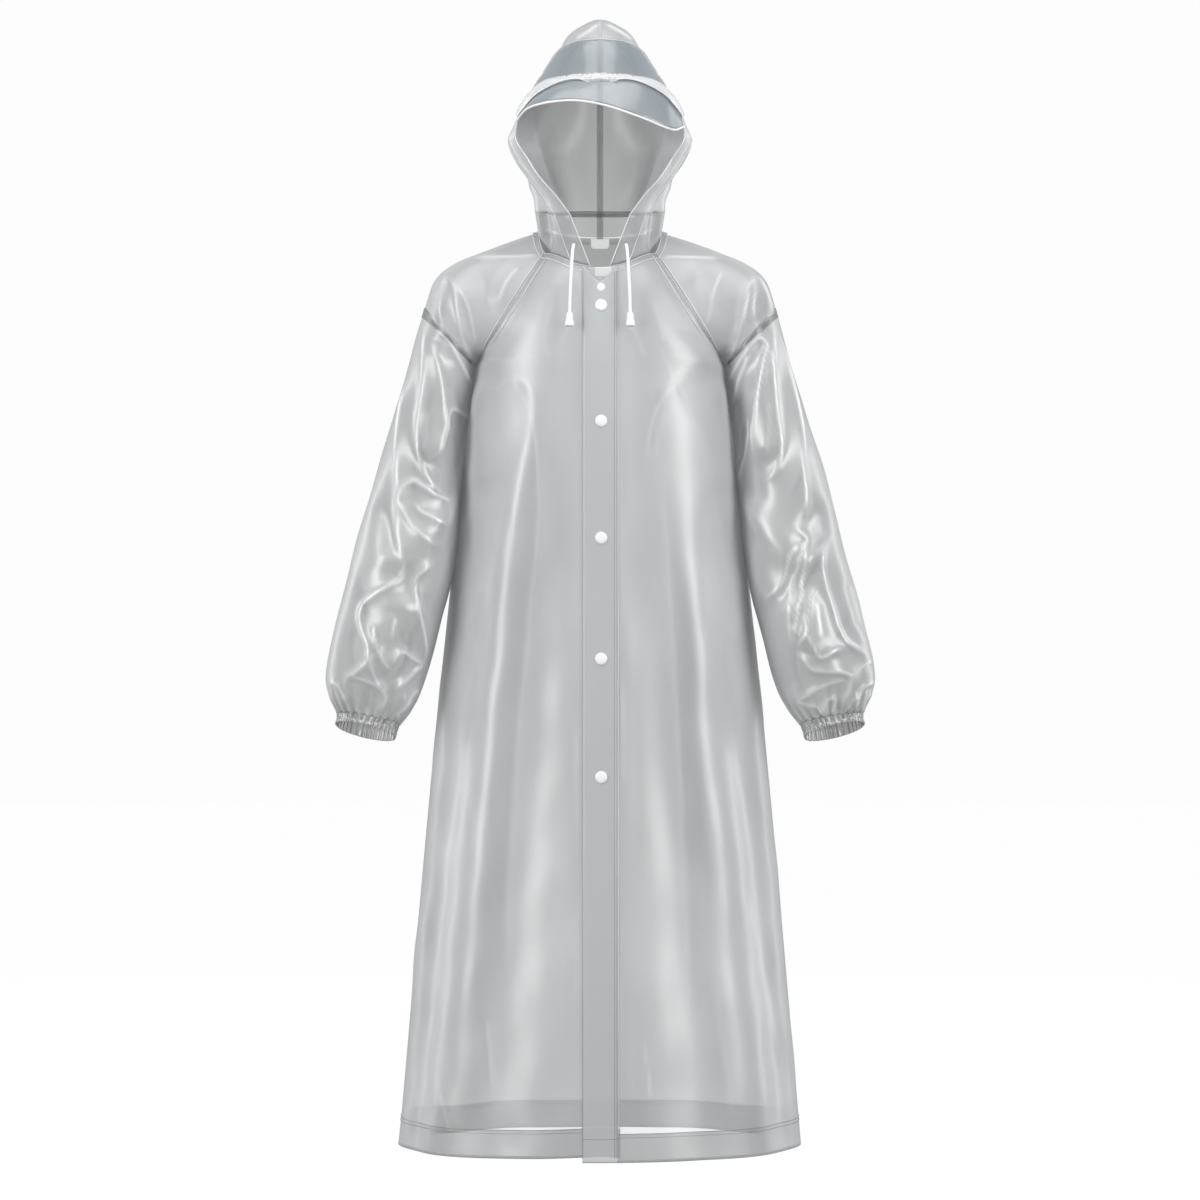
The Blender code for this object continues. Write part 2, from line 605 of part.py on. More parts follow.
def grid_mesh(name, grid, closed):
    """A mesh of quads through a grid of points. A closed grid's last column is its first."""
    rows, columns = grid.shape[:2]
    if closed:
        columns -= 1
    mesh = bmesh.new()
    verts = [[mesh.verts.new(Vector(grid[j, i])) for i in range(columns)] for j in range(rows)]
    for j in range(rows - 1):
        for i in range(columns if closed else columns - 1):
            k = (i + 1) % columns
            mesh.faces.new((verts[j][i], verts[j + 1][i], verts[j + 1][k], verts[j][k]))
    data = bpy.data.meshes.new(name)
    mesh.to_mesh(data)
    mesh.free()
    data.shade_smooth()
    return data


def shell(name, grid, look, closed=False, wall=WALL):
    """A cloth panel: an open surface through the grid, thickened evenly about it."""
    item = bpy.data.objects.new(name, grid_mesh(name, grid, closed))
    item.data.materials.append(look)
    garment.objects.link(item)
    solid = item.modifiers.new("Wall", "SOLIDIFY")
    solid.thickness = wall
    solid.offset = 0.0
    solid.use_even_offset = False
    solid.use_quality_normals = True
    return item


def pair(name, grid, look, closed=False):
    """The same panel on the wearer's left and right."""
    shell(name + "_left", grid, look, closed)
    shell(name + "_right", mirrored(grid), look, closed)


def turned(name, profile, steps, look, place, direction):
    """A profile of (radius, height) turned about an axis, placed with its height along direction."""
    mesh = bpy.data.meshes.new(name)
    points = [(radius, 0.0, height) for radius, height in profile]
    mesh.from_pydata(points, [(i, i + 1) for i in range(len(points) - 1)], [])
    item = bpy.data.objects.new(name, mesh)
    garment.objects.link(item)
    screw = item.modifiers.new("Turn", "SCREW")
    screw.steps = steps
    screw.render_steps = steps
    screw.use_merge_vertices = True
    screw.merge_threshold = 0.00005
    screw.use_smooth_shade = True
    item.location = Vector(place)
    item.rotation_euler = Vector(direction).to_track_quat("Z", "Y").to_euler()
    mesh.materials.append(look)
    return item


def tube(name, points, radius, look):
    """A cord along points, with filled ends."""
    curve = bpy.data.curves.new(name, "CURVE")
    curve.dimensions = "3D"
    curve.bevel_depth = radius
    curve.bevel_resolution = 2
    curve.use_fill_caps = True
    spline = curve.splines.new("POLY")
    spline.points.add(len(points) - 1)
    for point, place in zip(spline.points, points):
        point.co = (*place, 1.0)
    item = bpy.data.objects.new(name, curve)
    curve.materials.append(look)
    garment.objects.link(item)
    return item


def smooth_route(points, count):
    """Points along a smooth curve through a route's own points."""
    knots = np.array(points)
    keys = lengths(knots)
    slopes = np.gradient(knots, keys, axis=0)
    route = []
    for at in np.linspace(0.0, keys[-1], count):
        i = int(np.clip(np.searchsorted(keys, at) - 1, 0, len(keys) - 2))
        span = keys[i + 1] - keys[i]
        t = (at - keys[i]) / span
        route.append((2 * t ** 3 - 3 * t ** 2 + 1) * knots[i] + (t ** 3 - 2 * t ** 2 + t) * span * slopes[i]
                     + (3 * t ** 2 - 2 * t ** 3) * knots[i + 1] + (t ** 3 - t ** 2) * span * slopes[i + 1])
    return np.array(route)


# ---------------------------------------------------------------- the pieces

def make_torso(film):
    """Fronts, back, shoulder pieces and hems, kept apart at their seams."""
    yoke = len(YOKE_ROWS)
    left, right, back = front_left_grid(), front_right_grid(), whole_back_grid()
    shoulder, sleeve = shoulder_grid(), sleeve_grid()
    front_room = room((left[:, -1] - left[:, -2])[:yoke], shoulder[:, 1] - shoulder[:, 0])
    back_room = room((back[:, -1] - back[:, -2])[:yoke], shoulder[:, -2] - shoulder[:, -1])
    sleeve_room = room(shoulder[-1] - shoulder[-2], sleeve[1] - sleeve[0])
    side = np.full(len(TRUNK_ROWS), GAP / 2)
    front_side = np.concatenate([front_room, side])
    back_side = np.concatenate([back_room, side])
    left = pull_in(left, first=GAP, last=front_side)
    right = pull_in(right, last=front_side)
    back = pull_in(back, first=back_side, last=back_side)
    shell("front_left", left, film)
    shell("front_right", mirrored(right), film)
    shell("back", back, film)
    pair("shoulder", pull_in(shoulder, bottom=sleeve_room, first=front_room, last=back_room), film)
    pair("sleeve", pull_in(sleeve, top=sleeve_room, bottom=GAP / 2), film, closed=True)
    pair("cuff", pull_in(cuff_grid(), top=GAP / 2), film, closed=True)
    hem = {
        "hem_front_left": pull_in(raise_by(left, -LAYER)[-2:, 1:], last=HEM_SIDE_ROOM),
        "hem_front_right": mirrored(pull_in(raise_by(right, -LAYER)[-2:, 1:], last=HEM_SIDE_ROOM)),
        "hem_back": pull_in(raise_by(back, LAYER)[-2:], first=HEM_SIDE_ROOM, last=HEM_SIDE_ROOM),
    }
    for name, grid in hem.items():
        shell(name, grid, film)


def placket_grid():
    """The placket's strip, one layer above the fronts, with a notch at its top."""
    starts = (-PLACKET_HALF, -NOTCH_HALF, 0.0, NOTCH_HALF, PLACKET_HALF)
    grid = body_grid(-1, FRONT_FOLDS, starts, 1)[:, :-1]
    grid = raise_by(grid, LAYER)
    step = grid[1] - grid[0]
    grid[0, 2] += step[2] * NOTCH_DEPTH / np.linalg.norm(step[2])
    for column in (1, 3):
        grid[0, column] += step[column] * NOTCH_SIDE_DEPTH / np.linalg.norm(step[column])
    return grid


def make_placket(film, white):
    """The placket, its snap caps, and the backs of the snaps inside."""
    grid = placket_grid()
    shell("placket", grid, film)
    outside = raise_by(grid, WALL / 2 + GAP)
    inside = raise_by(grid, -LAYER - WALL / 2 - SNAP_ROOM)
    middle = grid.shape[1] // 2
    for number, height in enumerate(SNAP_HEIGHTS, 1):
        scale = TOP_SNAP_SCALE if number == 1 else 1.0
        front = on_column(outside[:, middle], height)
        rear = on_column(inside[:, middle], height)
        cap = [(radius * scale, rise) for radius, rise in CAP_PROFILE]
        turned(f"snap_cap_{number}", cap, 12, white, front[0], front[1])
        turned(f"snap_back_{number}", BACK_PROFILE, 12, white, rear[0], -rear[1])


def on_column(column, height):
    """The place on a grid's column at a height, and the direction out of the front there."""
    order = column[::-1]
    place = np.array([np.interp(height, order[:, 2], order[:, axis]) for axis in range(3)])
    i = int(np.clip(np.searchsorted(-column[:, 2], -height), 1, len(column) - 1))
    run = column[i] - column[i - 1]
    out = np.cross(run, (1.0, 0.0, 0.0))
    out *= -np.sign(out[1]) / np.linalg.norm(out)
    return place, out


def make_hood(film, clear, white):
    """Collar, hood, casing, window, band, brim and piping."""
    whole = hood_grid(COLLAR_ROWS + HOOD_ROWS[1:])
    whole = pull_in(whole, top=COLLAR_LIFT)
    seam = len(COLLAR_ROWS) - 1
    temple = seam + HOOD_ROWS.index(TEMPLE)
    back_step = whole[:, -1] - whole[:, -2]
    front_step = whole[:, 0] - whole[:, 1]
    joined = whole[:, 0, 0] < GAP
    back_room = room(back_step, -mirrored(back_step)) - GAP / 2
    front_room = np.where(joined, room(front_step, -mirrored(front_step)) - GAP / 2, 0.0)
    whole = pull_in(whole, first=front_room, last=back_room)
    pair("collar", pull_in(whole[:seam + 1], bottom=GAP / 2), film)
    pair("hood", pull_in(whole[seam:], top=GAP / 2), film)
    pair("casing", raise_by(whole, LAYER)[:temple + 1, :3], film)
    forehead = forehead_grid()
    shell("visor_band", pull_in(forehead[:, :3], last=GAP / 2), white)
    shell("visor_window", pull_in(forehead[:, 2:], first=GAP), clear)
    shell("visor_brim", brim_grid(), clear)
    rim = [row_at(BRIM, t)[1:] for t in even(24)]
    tube("visor_piping", rim, PIPING_RADIUS, white)


def make_neck(film, white):
    """The binding below the neck seam, and the hanger tab inside the back."""
    back = whole_back_grid()
    middle = back.shape[1] // 2
    front, shoulder = front_left_grid()[:2, 2:], shoulder_grid()[:2]
    half = np.concatenate([front[:, :-1], shoulder, back[:, ::-1][:2, 1:middle + 1]], axis=1)
    grid = np.concatenate([half, mirrored(half)[:, -2::-1]], axis=1)
    grid = raise_by(grid, BINDING_LIFT)
    shell("neck_binding", strip_down(grid[:, ::2], BINDING_WIDTH), film)
    tab = raise_by(back, LAYER)[:2, middle - 1:middle + 2]
    shell("hanger_tab", strip_down(tab, TAB_LENGTH), white)


def strip_down(grid, width):
    """The first row of a grid and the points a width below it, towards the second row."""
    step = grid[1] - grid[0]
    step *= width / np.linalg.norm(step, axis=1, keepdims=True)
    return np.stack([grid[0], grid[0] + step])


def make_cords(white):
    """The drawcord's two free ends, each with its bell."""
    for side, sign in (("left", 1.0), ("right", -1.0)):
        route = smooth_route(CORD_ROUTE, 17) * np.array([sign, 1.0, 1.0])
        tube("cord_" + side, route, CORD_RADIUS, white)
        place = route[-1] + (route[-1] - route[-2]) * (GAP / np.linalg.norm(route[-1] - route[-2]))
        turned("cord_end_" + side, CORD_END_PROFILE, 12, white, place, route[-2] - route[-1])


garment = bpy.data.collections.new("raincoat")


def main():
    clear_scene()
    bpy.context.scene.collection.children.link(garment)
    film = material("film", (0.62, 0.64, 0.66), 0.30, 0.7)
    clear = material("clear_film", (0.60, 0.68, 0.74), 0.12, 0.4)
    white = material("white_trim", (0.92, 0.92, 0.92), 0.45)
    make_torso(film)
    make_placket(film, white)
    make_hood(film, clear, white)
    make_neck(film, white)
    make_cords(white)


main()
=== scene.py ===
"""Looks of a long hooded raincoat of pale translucent film, filled out as worn, with nobody in it.

Metres, +Z up, the front faces -Y and the wearer's left is +X. Each piece is a fine thin shell on the same
sections as its solid, with the creases of the film raised on it, and stands for that solid.
"""

from collections import namedtuple

import bmesh
import bpy
import numpy as np
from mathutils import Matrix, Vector


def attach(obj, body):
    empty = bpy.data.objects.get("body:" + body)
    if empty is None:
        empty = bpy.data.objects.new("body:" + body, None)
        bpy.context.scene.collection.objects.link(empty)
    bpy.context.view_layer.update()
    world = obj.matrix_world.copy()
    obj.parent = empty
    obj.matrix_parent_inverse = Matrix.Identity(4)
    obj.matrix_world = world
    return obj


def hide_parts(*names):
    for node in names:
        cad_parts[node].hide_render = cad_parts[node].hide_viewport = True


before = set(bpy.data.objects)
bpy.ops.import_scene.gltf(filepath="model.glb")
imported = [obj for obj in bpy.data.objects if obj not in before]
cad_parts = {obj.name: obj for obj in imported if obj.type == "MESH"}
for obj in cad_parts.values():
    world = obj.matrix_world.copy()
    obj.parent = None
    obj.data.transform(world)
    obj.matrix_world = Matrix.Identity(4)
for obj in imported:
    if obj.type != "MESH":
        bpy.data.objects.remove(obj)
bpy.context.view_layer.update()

# Film, how far the layers of a seam lie apart, and the room at the armpit with the shares where it fades
FILM = 0.0005
LAYER = 0.0015
HALF_GAP = 0.00015
ARMPIT_ROOM = 0.0022
SHOULDER_ROOM_START = 0.6
SLEEVE_ROOM_END = 0.35

# The wearer's sides, a guard against division by zero, and the tenths of a millimetre in a metre
SIDES = (("left", 1), ("right", -1))
TINY = 1e-12
TENTHS = 10000.0

# How finely the pieces are made
BODY_STEP = 0.0045
ARM_STEP = 0.0023
SHOULDER_STEP = 0.0028
HOOD_STEP = 0.0028
SAMPLES = 96

# Front edges, hem and seams
PLACKET_HALF = 0.022
UNDERLAP = 0.0255
STEP_START = 0.028
STEP_END = 0.050
HEM_Z = -1.1735
HEM_DEPTH = 0.034
HEM_SHARE = 0.6
HEM_RISE_START = -1.085
RIGHT_HEM_RISE = 0.008
NOTCH_DEPTH = 0.022
SEAM_TAPE = 0.0058
STITCH_RADIUS = 0.00050
WELD_RADIUS = 0.0006

# Hood
CASING_WIDTH = 0.026
CASING_SHARE = 0.3
BAND_WIDTH = 0.0180
COLLAR_END = 0.0128
COLLAR_TAKE_IN = 0.955
COLLAR_LIFT = 0.0018
BINDING_WIDTH = 0.008
BINDING_LIFT = 0.0018
PIPING_RADIUS = 0.0014
WINDOW_LIFT = 0.0016
WINDOW_CUT = 0.93
BRIM_START = -0.0025
BRIM_END = 0.0016
BRIM_BOW = 0.002
TAB_HALF = 0.012
TAB_LENGTH = 0.013

# Cuffs, snaps and drawcord. The shifts of a cuff's gathers are (size, waves all round, start), and their
# unevenness is (least share, more, waves all round).
GATHERS = 36
GATHER_POINTS = 12
GATHER_DEPTH = 0.0015
GATHER_SHIFTS = ((0.8, 5, 1.0), (0.5, 9, 2.0))
GATHER_UNEVEN = (0.8, 0.3, 7)
CUFF_ROWS = 14
CUFF_PINCH = 0.45
CUFF_PINCH_REACH = 0.16
CUFF_TILT = 0.0050
TOP_SNAP_SCALE = 0.72
CORD_RADIUS = 0.0019

# The camera looks level along +Y from in front of the coat's middle
CAMERA_DISTANCE = 5.5
CAMERA_HEIGHT = -0.468
FRAME_WIDTH = 1.56
SENSOR_WIDTH = 0.036

# Creases: how sharply they turn, how strongly the outside and the inside faces are made whiter along their
# crests (partly stress-whitening of the film, partly painted highlight), how they fade, and where they are left
# out
CREST_ROUND = 0.55
CREST_WIDTH = 0.0019
CREST_FOLD = 0.0070
OUTSIDE_CREST = 0.80
INSIDE_CREST = 1.80
CREASE_SPACING = 0.0015
CREASE_REACH = 5.0
CREASE_TAPER = 0.18
CREASE_FACING = (0.05, 0.40)
LEAN = 0.6
SEAM_FADE = 0.014
CENTRE_FADE = 0.012

# The body is filled out below the arms, between heights and distances off the centre
SIDE_FILL = 0.0050
SIDE_FILL_RISE = (-0.34, -0.24)
SIDE_FILL_FADE = (-0.16, -0.11)
SIDE_FILL_ACROSS = (0.10, 0.17)

# The film's slight unevenness
Ripple = namedtuple("Ripple", "direction length share start")
RIPPLES = (
    Ripple((0.83, 0.32, 0.46), 0.094, 0.34, 0.4),
    Ripple((-0.55, 0.61, 0.57), 0.067, 0.24, 2.1),
    Ripple((0.28, -0.77, 0.57), 0.051, 0.18, 4.4),
    Ripple((0.64, 0.58, -0.50), 0.143, 0.46, 1.3),
    Ripple((-0.20, 0.45, 0.87), 0.212, 0.50, 5.2),
)
RIPPLE_SIZE = 0.0011
SHOULDER_RIPPLE = 0.0007
HOOD_RIPPLE = 0.0006

# Shoulder pieces and sleeves
SHOULDER_REACH = 0.185
SHOULDER_GIRTH = 0.270
SLEEVE_LENGTH = 0.550
SLEEVE_GIRTH = 0.360
SLEEVE_TUCK = ((0.05, 0.0), (0.2, 0.0020), (0.4, 0.0017), (0.5, 0.0025), (0.6, 0.0015), (0.68, 0.0))
SLEEVE_GATHERS = 23
SLEEVE_GATHER = 0.0021
GATHER_REACH = 0.020
GATHER_START = {1: 0.7, -1: 2.6}
SLEEVE_FOLD_EDGE = (0.02, 0.14)

# Rows, columns and steps of the pieces
PLACKET_SPACING = 0.0030
WINDOW_ROWS = 60
WINDOW_STEPS = 24
BRIM_ROWS = 80
BRIM_COLUMNS = 12
PIPING_STEPS = 72
BAND_COLUMNS = 8
WINDOW_COLUMNS = 24
COLLAR_SLICES = 12
CASING_SLICES = 44
HOOD_SLICES = (70, 30)
TAPE_ROWS = 60
TAPE_COLUMNS = 4
ARMHOLE_COLUMNS = 72
HOOD_TAPE_ROWS = 90
TOP_WELD_ROWS = 30
COLLAR_TAPE_COLUMNS = 90
NECK_COLUMNS = (20, 48, 24)
FACING_GRID = (8, 24)
PLACKET_STEPS = 200
TAB_GRID = (10, 16)
CORD_POINTS = 33
CORD_ROUNDNESS = 4
LINE_ROUNDNESS = 1
CAP_STEPS = 56
ROUND_STEPS = 40
YOKE_ROWS = tuple(i / 16 for i in range(17))
TAB_SHARES = tuple(i / 60 for i in range(13))
TRUNK_ROWS = (
    -0.1860, -0.2050, -0.2300, -0.2550, -0.2820, -0.3100, -0.3400, -0.3700, -0.4020, -0.4350, -0.4700,
    -0.5050, -0.5430, -0.5800, -0.6200, -0.6600, -0.7030, -0.7450, -0.7900, -0.8350, -0.8800, -0.9250,
    -0.9700, -1.0150, -1.0500, -1.0850, -1.1120, HEM_Z + HEM_DEPTH, -1.1560, HEM_Z,
)

# Layers, tapes, weld lines and the placket's painted edge shadow
STITCH_LIFT = 0.0005
TAPE_LIFT = 0.0009
ARMHOLE_TAPE = 0.0036
ARMHOLE_OPEN = 0.12
PLACKET_END = 0.006
PLACKET_HEM_DROP = 0.006
FACING_START = -0.0065
FACING_REACH = 0.12
# Lines across the placket: a dark line at its free edge as painted shadow of the overlapping flap, then two weld
# lines
PLACKET_WELDS_AND_EDGE_SHADOW = (-0.0216, 0.0184, 0.0212)
SNAP_ROOM = 0.0006
HOOD_TOP_TURN = 0.205
HOOD_TAPE = 0.0040
CENTRE_TAPE_END = 0.280
COLLAR_TAPE = 0.0034
COLLAR_TAPE_START = 0.55
BINDING_START = 0.0145
BINDING_STEP = 0.05
TAB_ROUND = 0.004
WELD = 0.00002

# Light and floor
SOFT_BOXES = (
    ("key_left", (-2.9, -2.4, 0.5), (1.3, 3.2), 97.0),
    ("key_right", (2.9, -2.4, 0.5), (1.3, 3.2), 97.0),
    ("top", (0.0, -0.6, 2.4), (2.4, 2.4), 45.0),
    ("back", (0.0, 3.4, 0.9), (3.2, 2.4), 75.0),
    ("strip_left", (-2.2, 1.2, 0.0), (0.5, 3.0), 12.0),
    ("strip_right", (2.2, 1.2, 0.0), (0.5, 3.0), 12.0),
)
DULL_BOXES = ("back",)
LIT_MIDDLE = (0.0, 0.0, -0.45)
WORLD_LIGHT = 0.36
WORLD_SEEN = 0.98
FLOOR_COLOUR = (0.020, 0.020, 0.020)
FLOOR_SHADE = (0.018, 0.018, 0.018)
FLOOR_Z = -1.30
FLOOR_RADIUS = 12.0
FLOOR_POINTS = 96
FLOOR_ROUGHNESS = 0.9
FLOOR_SCALE = 3.0
WHITE = (1.0, 1.0, 1.0, 1.0)

# The film's cloudiness, grain, rim and gloss, and the trim's spots and braid
CLOUD_STRETCH = (1.9, 1.9, 0.55)
CLOUD_SCALE = 6.0
CLOUD_TINT = 0.86
CLOUD_DEPTH = 0.85
GRAIN_SCALE = 900.0
FINE_DETAIL = 3.0
BUMP_DEPTH = 0.001
ROUGHNESS_SPREAD = (-0.04, 0.05)
TRIM_TINT = 0.93
TRIM_SPREAD = 0.06
TRIM_SPECULAR = 0.5
TRIM_BUMP_DEPTH = 0.0006
BRAID_SCALE = 260.0
BRAID_DISTORTION = 1.5
BRAID_BUMP = 0.5
BRAID_BUMP_DEPTH = 0.0005
SLANT_LIMIT = 0.25
RIM_START = 0.90
RIM_DARK = 0.80
RIM_TINT = 0.40
# Colour of the film along crests, partly stress-whitening and partly painted highlight, and of the painted light
# on the hood's inner sides
CREASE_WHITE_AND_PAINTED_LIGHT = (0.95, 0.96, 0.97)
FILM_IOR = 1.7
FILM_SPECULAR = 0.8
COAT_IOR = 1.7
COAT_ROUGHNESS = 0.30

Centre = namedtuple("Centre", "s front_y front_z back_y back_z")
CENTRE = (
    Centre(0.00, -0.098, -0.043, 0.080, 0.008),
    Centre(0.25, -0.107, -0.070, 0.094, -0.030),
    Centre(0.50, -0.115, -0.098, 0.107, -0.070),
    Centre(0.75, -0.123, -0.128, 0.117, -0.112),
    Centre(1.00, -0.130, -0.160, 0.124, -0.160),
)

Raglan = namedtuple("Raglan", "s front_x front_y front_z back_x back_y back_z")
RAGLAN = (
    Raglan(0.00, 0.0694, -0.062, -0.0246, 0.0600, 0.054, 0.0120),
    Raglan(0.25, 0.0900, -0.081, -0.0570, 0.0820, 0.080, -0.0350),
    Raglan(0.50, 0.1100, -0.091, -0.0895, 0.1050, 0.094, -0.0800),
    Raglan(0.75, 0.1310, -0.087, -0.1230, 0.1300, 0.088, -0.1210),
    Raglan(0.92, 0.1465, -0.058, -0.1465, 0.1465, 0.058, -0.1465),
    Raglan(1.00, 0.1575, -0.001, -0.1680, 0.1575, 0.001, -0.1680),
)

# A chest row leaves the centre for a share of its width (full) and reaches the raglan seam along trail_*; a
# shoulder row leaves the seam along lead_*. y is for the front.
Turn = namedtuple("Turn", "s full trail_x trail_y lead_x lead_y lead_z")
TURN = (
    Turn(0.00, 0.60, 0.020, 0.022, 0.010, 0.016, 0.009),
    Turn(0.25, 0.60, 0.032, 0.024, 0.026, 0.018, 0.018),
    Turn(0.50, 0.60, 0.046, 0.024, 0.038, 0.014, 0.026),
    Turn(0.75, 0.60, 0.046, 0.035, 0.050, -0.010, 0.030),
    Turn(0.92, 0.64, 0.020, 0.058, 0.040, -0.045, 0.018),
    Turn(1.00, 0.74, 0.000, 0.101, 0.000, -0.113, 0.000),
)

Ridge = namedtuple("Ridge", "s x y z reach")
RIDGE = (
    Ridge(0.00, 0.0790, 0.004, 0.0100, 0.028),
    Ridge(0.25, 0.1180, 0.003, -0.0030, 0.046),
    Ridge(0.50, 0.1560, 0.000, -0.0175, 0.062),
    Ridge(0.75, 0.1905, 0.000, -0.0335, 0.080),
    Ridge(0.90, 0.2140, 0.000, -0.0560, 0.098),
    Ridge(1.00, 0.2275, 0.000, -0.0975, 0.113),
)

Trunk = namedtuple("Trunk", "z half_width front back fullness")
TRUNK = (
    Trunk(0.1680, 0.1575, 0.1310, 0.1245, 0.710),
    Trunk(0.2275, 0.1660, 0.1400, 0.1300, 0.680),
    Trunk(0.3170, 0.1790, 0.1470, 0.1335, 0.640),
    Trunk(0.4470, 0.1935, 0.1540, 0.1370, 0.610),
    Trunk(0.6240, 0.2120, 0.1660, 0.1435, 0.580),
    Trunk(0.8000, 0.2285, 0.1780, 0.1500, 0.575),
    Trunk(0.9880, 0.2450, 0.1900, 0.1580, 0.570),
    Trunk(1.1800, 0.2615, 0.2000, 0.1660, 0.570),
)

# The sleeve from its seam on the upper arm down to the cuff: the outermost and innermost point of each section
Sleeve = namedtuple("Sleeve", "d outer_x outer_z inner_x inner_z mid_y front back rise")
SLEEVE = (
    Sleeve(0.00, 0.2275, -0.0975, 0.1575, -0.1680, 0.000, 0.085, 0.085, 0.00),
    Sleeve(0.20, 0.2600, -0.2080, 0.1706, -0.2480, -0.010, 0.082, 0.080, 0.00),
    Sleeve(0.40, 0.2925, -0.3120, 0.1820, -0.3420, -0.026, 0.080, 0.076, 0.00),
    Sleeve(0.60, 0.3195, -0.4160, 0.1935, -0.4480, -0.040, 0.078, 0.074, 0.03),
    Sleeve(0.76, 0.3390, -0.4960, 0.2120, -0.5260, -0.048, 0.072, 0.070, 0.06),
    Sleeve(0.90, 0.3530, -0.5650, 0.2300, -0.5850, -0.053, 0.062, 0.062, 0.10),
    Sleeve(0.96, 0.3485, -0.5930, 0.2430, -0.6090, -0.055, 0.052, 0.053, 0.13),
    Sleeve(1.00, 0.3370, -0.6140, 0.2590, -0.6280, -0.056, 0.040, 0.041, 0.15),
)
Cuff = namedtuple("Cuff", "d outer_x outer_z inner_x inner_z mid_y front back rise")
CUFF = (
    Cuff(0.0, 0.3370, -0.6145, 0.2590, -0.6285, -0.0560, 0.0395, 0.0405, 0.15),
    Cuff(0.5, 0.3380, -0.6215, 0.2615, -0.6370, -0.0565, 0.0385, 0.0395, 0.15),
    Cuff(1.0, 0.3395, -0.6285, 0.2640, -0.6450, -0.0570, 0.0390, 0.0400, 0.15),
)

# Hood slices from the neck up. side_* is the widest point; the slice leaves its front edge along lead_*.
Slice = namedtuple("Slice", "h front_x front_y front_z side_x side_y side_z back_y back_z lead_x lead_y")
HOOD = (
    Slice(0.038, 0.0382, -0.1080, 0.0239, 0.0812, 0.000, 0.0370, 0.0850, 0.0409, 0.026, 0.011),
    Slice(0.055, 0.0542, -0.1075, 0.0456, 0.0825, -0.006, 0.0540, 0.0900, 0.0600, 0.025, 0.014),
    Slice(0.075, 0.0765, -0.1050, 0.0714, 0.0930, -0.026, 0.0760, 0.0960, 0.0820, 0.022, 0.018),
    Slice(0.097, 0.0932, -0.1000, 0.0974, 0.1085, -0.050, 0.0980, 0.1030, 0.1030, 0.018, 0.018),
    Slice(0.121, 0.1070, -0.0970, 0.1207, 0.1180, -0.060, 0.1220, 0.1110, 0.1250, 0.013, 0.018),
    Slice(0.143, 0.1055, -0.0900, 0.1432, 0.1085, -0.064, 0.1420, 0.1180, 0.1470, 0.006, 0.014),
    Slice(0.159, 0.0950, -0.0960, 0.1600, 0.0990, -0.050, 0.1600, 0.1210, 0.1660, 0.013, 0.018),
    Slice(0.178, 0.0765, -0.1060, 0.1775, 0.0880, -0.032, 0.1830, 0.1220, 0.1880, 0.022, 0.016),
    Slice(0.192, 0.0475, -0.1140, 0.1902, 0.0820, -0.025, 0.1990, 0.1210, 0.2020, 0.034, 0.012),
    Slice(0.2065, 0.0100, -0.1178, 0.1934, 0.0763, -0.022, 0.2103, 0.1192, 0.2129, 0.048, 0.001),
    Slice(0.208, HALF_GAP, -0.1180, 0.1935, 0.0755, -0.022, 0.2115, 0.1190, 0.2140, 0.050, 0.000),
    Slice(0.226, HALF_GAP, -0.1030, 0.2245, 0.0655, -0.012, 0.2265, 0.1130, 0.2320, 0.042, 0.000),
    Slice(0.248, HALF_GAP, -0.0840, 0.2480, 0.0525, -0.005, 0.2470, 0.1020, 0.2510, 0.032, 0.000),
    Slice(0.269, HALF_GAP, -0.0560, 0.2690, 0.0385, 0.005, 0.2680, 0.0840, 0.2690, 0.022, 0.000),
    Slice(0.286, HALF_GAP, -0.0200, 0.2825, 0.0130, 0.012, 0.2835, 0.0520, 0.2825, 0.012, 0.000),
    Slice(0.298, HALF_GAP, -0.0080, 0.2850, 0.0015, 0.014, 0.2852, 0.0400, 0.2852, 0.001, 0.000),
)
# Shares of a slice's depth and width by which it leaves and reaches its widest point and its centre back
SIDE_REACH = 0.45
SIDE_LIFT = 0.50
REAR_LEAD = 0.50
REAR_TRAIL = 0.55
# Slices at the foot and the top of the collar, and at the temple
COLLAR_FOOT = 0.010
COLLAR_TOP = 0.038
TEMPLE = 0.143

# The clear window over the forehead: slice and share of the slice at its seam, from the temple to the centre
Window = namedtuple("Window", "p edge_h seam_h seam_share")
WINDOW = (
    Window(0.00, 0.148, 0.156, 0.090),
    Window(0.15, 0.159, 0.174, 0.210),
    Window(0.30, 0.172, 0.199, 0.340),
    Window(0.45, 0.185, 0.221, 0.420),
    Window(0.60, 0.195, 0.237, 0.390),
    Window(0.80, 0.204, 0.2465, 0.220),
    Window(1.00, 0.206, 0.2485, 0.000),
)

# The brim's piped edge, from the wearer's right temple to the left
Brim = namedtuple("Brim", "p x y z")
BRIM = (
    Brim(0.00, -0.1080, -0.0980, 0.1425),
    Brim(0.14, -0.0890, -0.1290, 0.1575),
    Brim(0.34, -0.0417, -0.1480, 0.1640),
    Brim(0.50, 0.0000, -0.1520, 0.1590),
    Brim(0.68, 0.0506, -0.1450, 0.1435),
    Brim(0.82, 0.0825, -0.1300, 0.1320),
    Brim(0.92, 0.0965, -0.1150, 0.1305),
    Brim(1.00, 0.1065, -0.0990, 0.1360),
)

